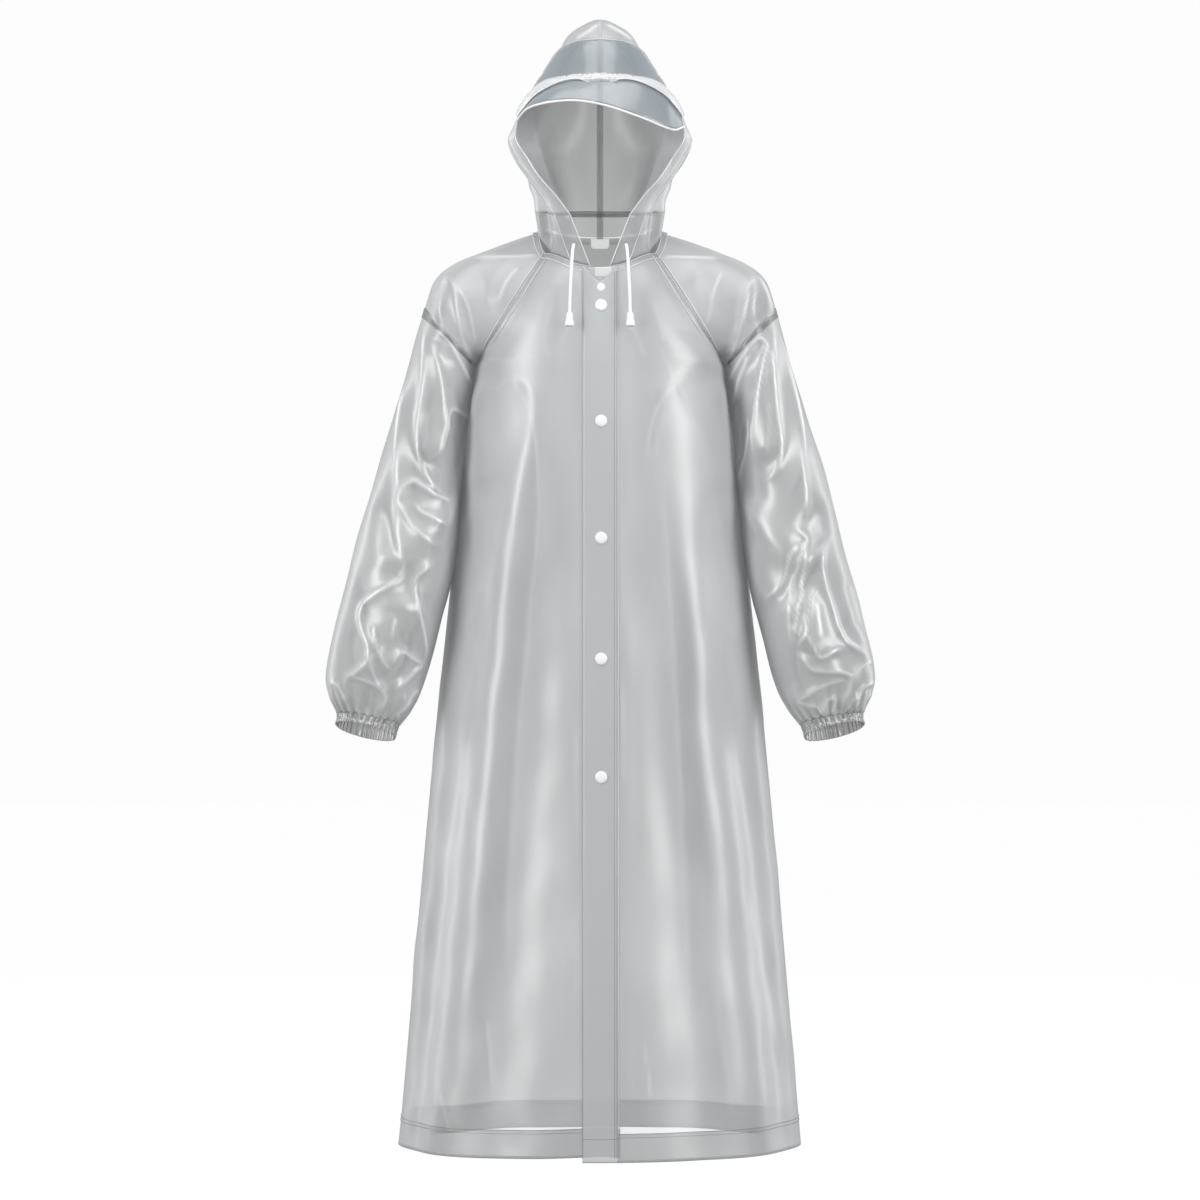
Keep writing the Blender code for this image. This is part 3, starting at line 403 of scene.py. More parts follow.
# Soft folds: across is the share of a row where the fold lies at its start and end, rows are where it fades
# in and out, width is a share of the row, and height is out (+) or in (-)
Fold = namedtuple("Fold", "start end across_start across_end width height")
FRONT_FOLDS = (
    Fold(0.230, 1.30, 0.40, 0.60, 0.100, 0.0080),
    Fold(0.280, 1.30, 0.60, 0.80, 0.090, -0.0070),
    Fold(0.420, 1.30, 0.24, 0.38, 0.090, -0.0050),
    Fold(0.170, 0.34, 0.72, 0.66, 0.110, 0.0050),
)
BACK_FOLDS = (
    Fold(0.260, 1.30, 0.30, 0.36, 0.110, 0.0080),
    Fold(0.300, 1.30, 0.55, 0.60, 0.090, -0.0080),
    Fold(0.330, 1.30, 0.74, 0.80, 0.090, 0.0080),
)
SLEEVE_FOLDS = (
    Fold(0.02, 0.34, 0.30, 0.20, 0.050, 0.0070),
    Fold(0.10, 0.46, 0.16, 0.12, 0.050, -0.0070),
    Fold(0.36, 0.62, 0.06, 0.30, 0.055, 0.0080),
    Fold(0.42, 0.70, 0.36, 0.18, 0.050, -0.0075),
    Fold(0.62, 0.92, 0.20, 0.28, 0.050, 0.0075),
    Fold(0.60, 0.95, 0.08, 0.10, 0.050, -0.0065),
    Fold(0.20, 0.60, 0.72, 0.66, 0.060, -0.0070),
    Fold(0.45, 0.90, 0.60, 0.78, 0.055, 0.0070),
)
HOOD_FOLDS = (
    Fold(0.000, 0.090, 0.300, 0.260, 0.070, -0.0100),
    Fold(0.000, 0.080, 0.420, 0.380, 0.060, 0.0040),
)

FADE_IN = 0.25
FADE_OUT = 0.20

SNAP_HEIGHTS = (-0.0690, -0.0925, -0.2412, -0.3896, -0.5424, -0.6914)

CAP_PROFILE = ((0.0, 0.0026), (0.0045, 0.0024), (0.0070, 0.0016), (0.0080, 0.0004), (0.0079, 0.0), (0.0, 0.0))
BACK_PROFILE = ((0.0, 0.0014), (0.0055, 0.0012), (0.0065, 0.0004), (0.0064, 0.0), (0.0, 0.0))

CORD_ROUTE = (
    (0.0334, -0.1082, -0.0150), (0.0336, -0.1108, -0.0156), (0.0340, -0.1134, -0.0178),
    (0.0346, -0.1158, -0.0222), (0.0352, -0.1180, -0.0290), (0.0358, -0.1202, -0.0385),
    (0.0364, -0.1224, -0.0490), (0.0370, -0.1244, -0.0600), (0.0375, -0.1264, -0.0710),
    (0.0379, -0.1284, -0.0820), (0.0382, -0.1304, -0.0930), (0.0384, -0.1322, -0.1030),
)
CORD_END_PROFILE = ((0.0, 0.0), (0.0034, 0.0), (0.0040, -0.0020), (0.0043, -0.0080), (0.0058, -0.0150),
                    (0.0056, -0.0172), (0.0, -0.0180))

Crease = namedtuple("Crease", "height width lean points")


def crease(height, width, lean, *points):
    """A crease seen in a view, out (+) or in (-), from sizes and places in tenths of a millimetre."""
    return Crease(height / TENTHS, width / TENTHS, lean, np.array(points) / TENTHS)


CHEST_CREASES = (
    crease(27, 108, 0.3, (-1521, -1963), (-1326, -1924), (-1170, -1820), (-1027, -1801), (-923, -1898),
           (-871, -2106), (-897, -2470), (-988, -2886), (-1079, -3445), (-1170, -3965)),
    crease(29, 180, 0.4, (-1144, -2990), (-1313, -3770), (-1482, -4732), (-1690, -5850), (-1859, -6825),
           (-1976, -7930), (-2028, -9100)),
    crease(-25, 180, 0.0, (-1404, -2470), (-1482, -3757), (-1703, -4732), (-1898, -5694), (-2041, -6760)),
    crease(19, 162, -0.3, (-1092, -4160), (-1248, -5200), (-1378, -6240), (-1508, -7410), (-1638, -8580),
           (-1768, -9880), (-1846, -10920)),
    crease(15, 72, 0.0, (-1482, -1430), (-1547, -1573), (-1586, -1742), (-1599, -2028), (-1612, -2340)),
    crease(-15, 180, 0.0, (-884, -2730), (-780, -4160), (-676, -5980), (-572, -7930), (-520, -9880)),
    crease(12, 90, 0.0, (-2080, -11050), (-2002, -11336), (-1937, -11622)),
    crease(19, 144, 0.2, (1378, -1378), (1196, -1560), (1014, -1742), (871, -1937), (793, -2106)),
    crease(27, 216, -0.3, (832, -1872), (1014, -2041), (1170, -2366), (1339, -2808), (1482, -3445),
           (1625, -4238), (1742, -4940), (1846, -5850)),
    crease(25, 252, 0.2, (767, -2106), (793, -2795), (858, -3601), (936, -4420), (1014, -5330), (1105, -6240),
           (1196, -7280), (1261, -8190)),
    crease(-22, 198, 0.0, (988, -2600), (1144, -3757), (1339, -4888), (1482, -5850), (1586, -6890)),
    crease(-15, 216, 0.0, (520, -2470), (468, -3900), (494, -5330), (572, -6760), (650, -8320)),
    crease(15, 126, 0.4, (1924, -8385), (1976, -8775), (2080, -9334), (2184, -9906), (2301, -10595)),
    crease(17, 162, 0.0, (1508, -9620), (1586, -10400), (1664, -10985), (1716, -11505)),
    crease(15, 90, 0.0, (1547, -1456), (1586, -1612), (1651, -1768), (1703, -1976)),
    crease(17, 144, 0.0, (-585, -780), (-676, -1014), (-715, -1274), (-676, -1560)),
    crease(-15, 180, 0.0, (-1040, -1014), (-1144, -1365), (-1196, -1638)),
    crease(15, 126, 0.0, (676, -780), (780, -1066), (832, -1365)),
    crease(15, 72, 0.0, (-299, -390), (-247, -598), (-221, -845), (-234, -1170)),
)
SHOULDER_CREASES = (
    crease(22, 30, 0.0, (-1664, -247), (-1352, -228), (-1040, -221), (-767, -202)),
    crease(45, 40, 0.4, (-2002, -442), (-1911, -572), (-1846, -897), (-1794, -1261), (-1729, -1586),
           (-1664, -1976)),
    crease(40, 40, -0.3, (-1989, -468), (-2041, -676), (-2067, -858), (-2106, -1066)),
    crease(-35, 80, 0.0, (-1560, -416), (-1508, -689), (-1430, -1001)),
    crease(30, 70, 0.0, (-1872, -598), (-1742, -793), (-1651, -1105), (-1612, -1365)),
    crease(30, 70, 0.0, (-1040, -338), (-1222, -572), (-1326, -832)),
    crease(22, 30, 0.0, (754, -228), (1040, -228), (1300, -234), (1586, -254)),
    crease(30, 70, 0.0, (1599, -390), (1495, -637), (1417, -975), (1352, -1170)),
    crease(45, 40, -0.4, (1976, -455), (1885, -780), (1807, -1196), (1703, -1742), (1651, -1976)),
    crease(40, 40, 0.2, (1963, -468), (2002, -689), (1976, -871), (1989, -1066)),
    crease(35, 50, 0.0, (2041, -494), (2158, -728), (2236, -975)),
    crease(-30, 80, 0.0, (1300, -416), (1222, -728), (1170, -988)),
)
LEFT_VIEW_SLEEVE = (
    crease(40, 40, 0.3, (-2275, -1040), (-2268, -1495), (-2327, -2080), (-2370, -2561), (-2340, -2860),
           (-2242, -3107), (-2106, -3263), (-1950, -3393)),
    crease(55, 40, -0.4, (-2166, -1274), (-2145, -1495), (-2067, -1885), (-2034, -2275), (-2041, -2561),
           (-2093, -2743), (-2288, -2873)),
    crease(40, 35, 0.0, (-2158, -1313), (-2119, -1242), (-2028, -1235), (-1937, -1378), (-1820, -1612),
           (-1716, -1807), (-1625, -2015)),
    crease(35, 40, 0.0, (-1963, -2600), (-1995, -2314), (-1911, -2197), (-1794, -2249), (-1664, -2353)),
    crease(50, 60, 0.3, (-2496, -1716), (-2574, -2171), (-2613, -2470), (-2634, -2860), (-2631, -3250),
           (-2623, -3640), (-2600, -3965), (-2555, -4264)),
    crease(50, 45, 0.4, (-2574, -3965), (-2551, -4264), (-2595, -4407), (-2756, -4511), (-2951, -4622),
           (-3081, -4745), (-3120, -4875), (-3081, -5096), (-3009, -5304), (-3016, -5447), (-3159, -5603),
           (-3276, -5694), (-3302, -5811), (-3211, -5941)),
    crease(45, 40, 0.0, (-2581, -3445), (-2574, -3302), (-2509, -3185), (-2418, -3146), (-2301, -3211),
           (-2145, -3328), (-2002, -3393), (-1924, -3328)),
    crease(50, 50, 0.3, (-2581, -3354), (-2496, -3588), (-2405, -3744), (-2249, -3900), (-2106, -3978)),
    crease(35, 50, 0.0, (-2405, -3419), (-2340, -3523), (-2184, -3614), (-2002, -3705)),
    crease(45, 40, -0.3, (-2119, -4108), (-2262, -4264), (-2379, -4368), (-2409, -4524), (-2385, -4745),
           (-2340, -4966), (-2288, -5213), (-2275, -5408), (-2320, -5525)),
    crease(45, 40, 0.3, (-2314, -5512), (-2457, -5642), (-2574, -5746), (-2704, -5844)),
    crease(35, 40, 0.0, (-2314, -5512), (-2444, -5434), (-2561, -5356), (-2652, -5421), (-2730, -5525)),
    crease(-40, 60, 0.0, (-2821, -4784), (-2665, -4849), (-2600, -5044), (-2548, -5252), (-2444, -5408)),
    crease(30, 40, 0.0, (-2944, -4966), (-2905, -5200), (-2860, -5395), (-2782, -5525), (-2691, -5577)),
    crease(40, 35, 0.0, (-3263, -5694), (-3172, -5668), (-3029, -5720), (-2886, -5798), (-2795, -5928),
           (-2834, -6032), (-2938, -6123)),
    crease(35, 35, 0.0, (-2970, -5330), (-2970, -5512), (-2925, -5668), (-2847, -5850)),
    crease(35, 45, 0.0, (-3497, -5720), (-3406, -5772), (-3328, -5876), (-3276, -5993)),
    crease(-35, 50, 0.0, (-3120, -5850), (-3042, -5980), (-3016, -6123)),
    crease(30, 45, 0.0, (-2470, -5980), (-2574, -6058), (-2678, -6214)),
    crease(35, 55, 0.0, (-2366, -5824), (-2470, -5928), (-2613, -6136)),
    crease(50, 100, 0.0, (-2236, -2210), (-2249, -2470), (-2288, -2795)),
    crease(-50, 80, 0.0, (-1885, -1820), (-1833, -2080), (-1794, -2405), (-1781, -2795), (-1794, -3120)),
)
RIGHT_VIEW_SLEEVE = (
    crease(50, 60, -0.3, (2275, -1079), (2366, -1391), (2470, -1781), (2561, -2184), (2613, -2561),
           (2626, -2886), (2665, -3250), (2678, -3575), (2678, -3744)),
    crease(45, 40, -0.2, (2262, -1092), (2236, -1391), (2262, -1794), (2307, -2275), (2346, -2561),
           (2334, -2860), (2262, -3055), (2080, -3159)),
    crease(50, 40, 0.3, (1885, -1586), (1989, -1339), (2067, -1281), (2145, -1365), (2138, -1560), (2080, -1898),
           (2041, -2275), (2021, -2574), (2021, -2756), (2067, -2886)),
    crease(35, 35, 0.0, (1989, -1339), (1859, -1534), (1755, -1716), (1677, -1872)),
    crease(30, 30, 0.0, (1976, -1430), (1794, -1885), (1703, -2184)),
    crease(35, 40, 0.0, (1846, -2340), (1924, -2353), (1950, -2431), (1924, -2652), (1846, -3016),
           (1794, -3263)),
    crease(50, 40, 0.3, (2470, -3705), (2613, -3822), (2671, -3900), (2626, -4056), (2561, -4264), (2496, -4511),
           (2470, -4810), (2492, -5096), (2522, -5317)),
    crease(35, 40, 0.0, (2678, -3900), (2665, -4160), (2639, -4446), (2581, -4784), (2535, -5265)),
    crease(30, 50, 0.0, (2600, -3913), (2496, -4043), (2431, -4251), (2353, -4472), (2236, -4602),
           (2119, -4680)),
    crease(50, 40, -0.3, (3081, -3822), (2964, -3900), (2905, -4030), (2886, -4238), (2925, -4485),
           (3029, -4810), (3107, -5070), (3198, -5226), (3341, -5330), (3497, -5408)),
    crease(40, 45, 0.0, (2814, -4472), (2737, -4667), (2697, -4901), (2697, -5083), (2626, -5213),
           (2528, -5317)),
    crease(45, 50, 0.0, (2697, -5083), (2782, -5265), (2886, -5421), (3016, -5356), (3159, -5291)),
    crease(50, 40, 0.3, (2522, -5317), (2678, -5460), (2782, -5571), (2951, -5596), (3120, -5610), (3237, -5668),
           (3224, -5811), (3165, -5993), (3172, -6136)),
    crease(35, 40, 0.0, (3510, -5460), (3354, -5577), (3250, -5694)),
    crease(30, 40, 0.0, (2561, -5980), (2678, -5922), (2886, -5798), (3068, -5733), (3211, -5707)),
    crease(30, 40, 0.0, (2561, -5980), (2717, -6032), (2873, -6078), (2938, -6149)),
    crease(35, 30, 0.0, (2925, -6227), (2899, -6097), (2964, -5967), (3042, -5967), (3029, -6110),
           (3003, -6214)),
    crease(35, 30, 0.0, (3198, -6123), (3250, -6006), (3302, -5954), (3328, -6058), (3328, -6175)),
    crease(35, 30, 0.0, (3562, -5733), (3406, -5811), (3328, -5928), (3289, -6006)),
    crease(35, 30, 0.0, (3510, -5863), (3419, -6019), (3393, -6188)),
    crease(50, 100, 0.0, (2184, -2080), (2197, -2470), (2171, -2795)),
    crease(-50, 80, 0.0, (1833, -1885), (1807, -2184), (1794, -2600), (1781, -2990)),
    crease(-40, 70, 0.0, (2600, -4420), (2561, -4745), (2548, -5096)),
    crease(40, 80, 0.0, (2808, -4680), (2834, -4940), (2860, -5200)),
    crease(-40, 60, 0.0, (3094, -5850), (3068, -6006), (3068, -6162)),
    crease(-35, 60, 0.0, (3250, -4420), (3328, -4745), (3406, -5070)),
)
HOOD_CREASES = (
    crease(12, 35, 0.0, (0, 2808), (-156, 2700), (-325, 2600)),
    crease(12, 35, 0.0, (52, 2808), (260, 2700), (442, 2587)),
    crease(30, 35, 0.0, (-767, 455), (-676, 260), (-585, 26), (-468, -156)),
    crease(30, 35, 0.0, (767, 455), (676, 260), (585, 26), (468, -156)),
    crease(25, 40, 0.0, (-624, 2379), (-390, 2405), (-195, 2509)),
)

# Inside the hood: the fold that runs from below the brim to the collar, and the hollows between it and the tape
HOOD_BACK_CREASES = (
    crease(-14, 50, 0.0, (-830, 1560), (-770, 1250), (-626, 840), (-500, 560), (-387, 276)),
    crease(-14, 50, 0.0, (800, 1480), (740, 1200), (640, 840), (540, 560), (430, 276)),
    crease(30, 180, 0.0, (-560, 1700), (-500, 1200), (-400, 600)),
    crease(30, 180, 0.0, (520, 1600), (460, 1100), (380, 600)),
    crease(-20, 140, 0.0, (-240, 1600), (-240, 1000), (-220, 500)),
    crease(-20, 140, 0.0, (260, 1500), (260, 1000), (240, 600)),
)
# Height and half width of that fold, and the painted light that makes the film whiter outward of it, on the
# hood's side walls
HOOD_FOLD = ((0.0276, 0.0387), (0.0840, 0.0626), (0.1250, 0.0780), (0.1600, 0.0850))
HOOD_FOLD_EASE = 0.0030
HOOD_SIDE_PAINTED_LIGHT = 0.30
HOOD_FOLD_FADE = 0.120
HOOD_FOLD_TOP = 0.185
BACK_CREASES = (
    crease(60, 120, 0.3, (-620, -2150), (-750, -3300), (-900, -4800), (-1060, -6500), (-1180, -8300),
           (-1240, -10100)),
    crease(-50, 110, 0.0, (-300, -2600), (-360, -4200), (-460, -6000), (-550, -8000), (-600, -9800)),
    crease(55, 130, -0.3, (700, -2300), (820, -3500), (940, -5000), (1040, -6900), (1120, -8800),
           (1170, -10600)),
    crease(-45, 100, 0.0, (1080, -3300), (1240, -4800), (1380, -6600), (1500, -8600)),
    crease(50, 100, 0.2, (140, -3000), (100, -4600), (160, -6400), (220, -8200), (200, -9800)),
    crease(50, 60, 0.4, (1180, -1650), (960, -1850), (780, -2050), (660, -2350), (600, -2900)),
    crease(45, 60, -0.4, (-1220, -1700), (-1040, -1920), (-900, -2220), (-820, -2700), (-800, -3300)),
    crease(35, 70, 0.0, (-350, -850), (-480, -1200), (-700, -1500)),
    crease(30, 70, 0.0, (300, -750), (460, -1100), (620, -1500)),
    crease(-40, 100, 0.0, (-1400, -4200), (-1560, -5600), (-1680, -7200), (-1760, -8800)),
    crease(30, 60, 0.0, (-1500, -10200), (-1460, -10700), (-1420, -11200)),
    crease(30, 60, 0.0, (600, -10600), (640, -11000), (700, -11450)),
)
SHOULDER_BACK_CREASES = (
    crease(40, 50, 0.3, (-1960, -400), (-1860, -700), (-1760, -1050), (-1660, -1400)),
    crease(30, 50, 0.0, (-1200, -200), (-1380, -460), (-1500, -800)),
    crease(35, 60, -0.3, (1920, -380), (1840, -660), (1780, -1000), (1720, -1320)),
    crease(30, 50, 0.0, (1120, -160), (1340, -400), (1480, -700)),
)
SLEEVE_BACK_CREASES = {
    1: (
        crease(50, 55, 0.3, (2360, -1300), (2500, -1900), (2620, -2500), (2620, -3000), (2500, -3300),
               (2360, -3450)),
        crease(45, 45, -0.3, (2620, -3000), (2760, -3350), (2860, -3800), (2800, -4250), (2620, -4550),
               (2500, -4800)),
        crease(45, 45, 0.3, (2120, -1900), (2160, -2400), (2140, -2900), (2220, -3300), (2360, -3450)),
        crease(-45, 70, 0.0, (2320, -2000), (2380, -2500), (2360, -3000)),
        crease(45, 50, 0.0, (3040, -3300), (3140, -3900), (3200, -4500), (3120, -5000), (2960, -5350)),
        crease(40, 45, 0.4, (2500, -4800), (2620, -5150), (2800, -5350), (2960, -5350), (3120, -5500),
               (3220, -5750)),
        crease(35, 40, 0.0, (2620, -5150), (2580, -5450), (2660, -5750), (2720, -5950)),
        crease(-40, 60, 0.0, (2840, -4400), (2900, -4750), (2860, -5050)),
        crease(30, 35, 0.0, (3000, -5700), (2980, -5900), (3000, -6060)),
        crease(40, 80, 0.0, (2460, -3800), (2400, -4200), (2380, -4600)),
    ),
    -1: (
        crease(50, 55, -0.3, (-2400, -1300), (-2560, -2000), (-2660, -2700), (-2740, -3300), (-2700, -3800),
               (-2560, -4100)),
        crease(45, 45, 0.3, (-2140, -1800), (-2260, -2300), (-2280, -2800), (-2160, -3200), (-2060, -3400)),
        crease(45, 45, 0.4, (-2560, -4100), (-2400, -4400), (-2360, -4750), (-2500, -5050), (-2720, -5200),
               (-2900, -5200)),
        crease(45, 50, 0.0, (-3000, -3000), (-3120, -3600), (-3140, -4200), (-3040, -4700), (-2900, -5200),
               (-2860, -5600)),
        crease(-45, 70, 0.0, (-2460, -2600), (-2500, -3100), (-2460, -3500)),
        crease(35, 40, -0.3, (-2500, -5050), (-2560, -5400), (-2700, -5700), (-2760, -5950)),
        crease(35, 40, 0.0, (-3180, -5000), (-3200, -5400), (-3120, -5750)),
        crease(-40, 60, 0.0, (-2800, -4300), (-2760, -4650), (-2840, -4950)),
        crease(30, 35, 0.0, (-2980, -5720), (-3020, -5900), (-3000, -6060)),
    ),
}


# ---------------------------------------------------------------- sections and lofts

def blend(t, span, values, slopes, i):
    """Values at the share t of the span between each i and the next one, on smooth curves."""
    return ((2 * t ** 3 - 3 * t ** 2 + 1) * values[i] + (t ** 3 - 2 * t ** 2 + t) * span * slopes[i]
            + (3 * t ** 2 - 2 * t ** 3) * values[i + 1] + (t ** 3 - t ** 2) * span * slopes[i + 1])


def row_at(table, key):
    """The table's columns at a value of its first column, on smooth curves through its rows."""
    keys = np.array([row[0] for row in table])
    values = np.array([row[1:] for row in table])
    slopes = np.empty_like(values)
    slopes[1:-1] = (values[2:] - values[:-2]) / (keys[2:] - keys[:-2])[:, None]
    slopes[0] = (values[1] - values[0]) / (keys[1] - keys[0])
    slopes[-1] = (values[-1] - values[-2]) / (keys[-1] - keys[-2])
    i = int(np.clip(np.searchsorted(keys, key) - 1, 0, len(keys) - 2))
    span = keys[i + 1] - keys[i]
    t = min(max((key - keys[i]) / span, 0.0), 1.0)
    return type(table[0])(key, *blend(t, span, values, slopes, i))


def arc(start, lead, trail, end):
    """Points along a curve that leaves start along lead and reaches end along trail."""
    start, lead, trail, end = (np.array(v, float) for v in (start, lead, trail, end))
    u = np.linspace(0.0, 1.0, SAMPLES)[:, None]
    v = 1.0 - u
    return v ** 3 * start + 3 * v * v * u * (start + lead) + 3 * v * u * u * (end - trail) + u ** 3 * end


def chain(*curves):
    """Curves that follow each other, as one."""
    return np.vstack([curves[0]] + [curve[1:] for curve in curves[1:]])


def lengths(curve):
    """The distance along a curve to each of its points."""
    steps = np.linalg.norm(np.diff(curve, axis=0), axis=1)
    return np.concatenate([[0.0], np.cumsum(steps)])


def walk(curve, distances):
    """Points of a curve at distances from its start."""
    along = lengths(curve)
    return np.column_stack([np.interp(distances, along, curve[:, axis]) for axis in range(3)])


def even(count):
    """Shares from 0 to 1 in count equal steps."""
    return np.linspace(0.0, 1.0, count + 1)


def spread(curve, shares):
    """Points of a curve at shares of its length."""
    return walk(curve, shares * lengths(curve)[-1])


def gaps(grid, axis):
    """The distances between the neighbours of a grid of points, down it (0) or across it (1)."""
    return np.linalg.norm(np.diff(grid, axis=axis), axis=2)


def depths_down(grid):
    """The mean distance down a grid to each of its rows."""
    return np.concatenate([[0.0], np.cumsum(gaps(grid, 0).mean(axis=1))])


def distances_across(grid):
    """The distance of each point of a grid from its row's first one."""
    return np.concatenate([np.zeros((len(grid), 1)), np.cumsum(gaps(grid, 1), axis=1)], axis=1)


def ease(low, high, x):
    """0 below low, 1 above high, and smooth between."""
    t = np.clip((x - low) / (high - low), 0.0, 1.0)
    return t * t * (3.0 - 2.0 * t)


def normals(grid):
    """Unit normals of a grid of points, outward where its rows run down and its columns to the left."""
    across = np.gradient(grid, axis=1)
    along = np.gradient(grid, axis=0)
    normal = np.cross(along, across)
    size = np.linalg.norm(normal, axis=2, keepdims=True)
    return normal / np.maximum(size, TINY)


def fold_height(folds, row, shares):
    """How far the folds stand out at shares of the row."""
    height = np.zeros(len(shares))
    for fold in folds:
        travel = min(max((row - fold.start) / (fold.end - fold.start), 0.0), 1.0)
        fade = min(travel / FADE_IN, (1.0 - travel) / FADE_OUT, 1.0)
        if fade <= 0.0:
            continue
        centre = fold.across_start + (fold.across_end - fold.across_start) * travel
        strength = fold.height * fade * fade * (3.0 - 2.0 * fade)
        height += strength * np.exp(-((shares - centre) / fold.width) ** 2)
    return height


def on_side(points, side):
    """Points of the wearer's left, on that side (1) or on the other one (-1)."""
    return points * np.array([side, 1.0, 1.0])


def mirrored(points):
    """Points on the other side of the garment."""
    return on_side(points, -1.0)


def pull_in(grid, amount):
    """Moves the first row of a grid inwards, along the surface."""
    grid = grid.copy()
    step = grid[1] - grid[0]
    grid[0] += step * (amount / np.maximum(np.linalg.norm(step, axis=1), TINY))[:, None]
    return grid


# ---------------------------------------------------------------- the garment's sections

def front_section(s):
    """The chest above the armpit, from the centre front to the raglan seam."""
    centre, seam, turn = row_at(CENTRE, s), row_at(RAGLAN, s), row_at(TURN, s)
    return arc((0, centre.front_y, centre.front_z), (turn.full * seam.front_x, 0, 0),
               (turn.trail_x, turn.trail_y, 0), (seam.front_x, seam.front_y, seam.front_z))


def back_section(s):
    """The back above the armpit, from the centre back to the raglan seam."""
    centre, seam, turn = row_at(CENTRE, s), row_at(RAGLAN, s), row_at(TURN, s)
    return arc((0, centre.back_y, centre.back_z), (turn.full * seam.back_x, 0, 0),
               (turn.trail_x, -turn.trail_y, 0), (seam.back_x, seam.back_y, seam.back_z))


def trunk_section(z, face):
    """Below the armpit, from the centre front (face -1) or back (face 1) to the side seam."""
    ring = row_at(TRUNK, -z)
    depth = face * (ring.front if face < 0 else ring.back)
    return arc((0, depth, z), (ring.fullness * ring.half_width, 0, 0), (0, -ring.fullness * depth, 0),
               (ring.half_width, 0, z))


def shoulder_section(s):
    """Over the shoulder, from the front raglan seam to the back one."""
    seam, turn, ridge = row_at(RAGLAN, s), row_at(TURN, s), row_at(RIDGE, s)
    top = (ridge.x, ridge.y, ridge.z)
    front = arc((seam.front_x, seam.front_y, seam.front_z), (turn.lead_x, turn.lead_y, turn.lead_z),
                (0, ridge.reach, 0), top)
    back = arc((seam.back_x, seam.back_y, seam.back_z), (turn.lead_x, -turn.lead_y, turn.lead_z),
               (0, -ridge.reach, 0), top)
    return chain(front, back[::-1]) + np.array([ARMPIT_ROOM * ease(SHOULDER_ROOM_START, 1.0, s), 0, 0])


def loop(row, kept_off):
    """A sleeve's section, from its inner point round the front to the outer point and back behind.

    Leads of 4/3 of the depth take each half out to that depth.
    """
    inner = np.array((row.inner_x, row.mid_y, row.inner_z))
    outer = np.array((row.outer_x, row.mid_y, row.outer_z))
    front = arc(inner, (0, -row.front * 4 / 3, 0), (0, row.front * 4 / 3, 0), outer)
    back = arc(outer, (0, row.back * 4 / 3, 0), (0, -row.back * 4 / 3, 0), inner)
    ring = chain(front, back)
    ring[:, 2] += (row.mid_y - ring[:, 1]) * row.rise
    return ring + np.array([kept_off, 0, 0])


def neck_section():
    """Half of the neckline, from the collar's front end to the centre back."""
    front, shoulder, back = front_section(0.0), shoulder_section(0.0), back_section(0.0)
    whole = chain(front, shoulder, back[::-1])
    along = lengths(whole)
    start = np.interp(COLLAR_END, whole[:SAMPLES, 0], along[:SAMPLES])
    half = walk(whole, start + even(3 * SAMPLES) * (along[-1] - start))
    half = half * np.array([COLLAR_TAKE_IN, COLLAR_TAKE_IN, 1.0])
    half[-1, 0] = HALF_GAP
    return half


def collar_section(h):
    """A slice of the collar, between the neckline and the hood's lowest slice."""
    neck, hood = neck_section(), hood_section(COLLAR_TOP)
    shares = even(3 * SAMPLES)
    t = (h - COLLAR_FOOT) / (COLLAR_TOP - COLLAR_FOOT)
    return (1.0 - t) * spread(neck, shares) + t * spread(hood, shares)


def hood_section(h):
    """A slice of the hood, from its front edge or centre seam round the side to the centre back."""
    row = row_at(HOOD, h)
    side = np.array((row.side_x, row.side_y, row.side_z))
    reach = SIDE_REACH * (row.side_y - row.front_y)
    lift = SIDE_LIFT * (row.side_z - row.front_z)
    front = arc((row.front_x, row.front_y, row.front_z), (row.lead_x, row.lead_y, 0), (0, reach, lift), side)
    deep = row.back_y - row.side_y
    rear = arc(side, (0, REAR_LEAD * deep, 0), (-REAR_TRAIL * row.side_x, 0, 0),
               (HALF_GAP, row.back_y, row.back_z))
    return chain(front, rear)


def slice_at(h):
    """A slice of the collar, or above it of the hood."""
    return collar_section(h) if h < COLLAR_TOP else hood_section(h)


# ---------------------------------------------------------------- creases and ripples

def smooth_route(points, count):
    """Points along a smooth curve through a route's own points."""
    knots = np.asarray(points)
    keys = lengths(knots)
    slopes = np.gradient(knots, keys, axis=0)
    at = np.linspace(0.0, keys[-1], count)
    i = np.clip(np.searchsorted(keys, at) - 1, 0, len(keys) - 2)
    span = (keys[i + 1] - keys[i])[:, None]
    return blend((at - keys[i])[:, None] / span, span, knots, slopes, i)


def front_view(places):
    """Where places appear from the camera, in the plane through the origin."""
    near = CAMERA_DISTANCE / (CAMERA_DISTANCE + places[:, 1])
    return np.column_stack([places[:, 0] * near, CAMERA_HEIGHT + (places[:, 2] - CAMERA_HEIGHT) * near])


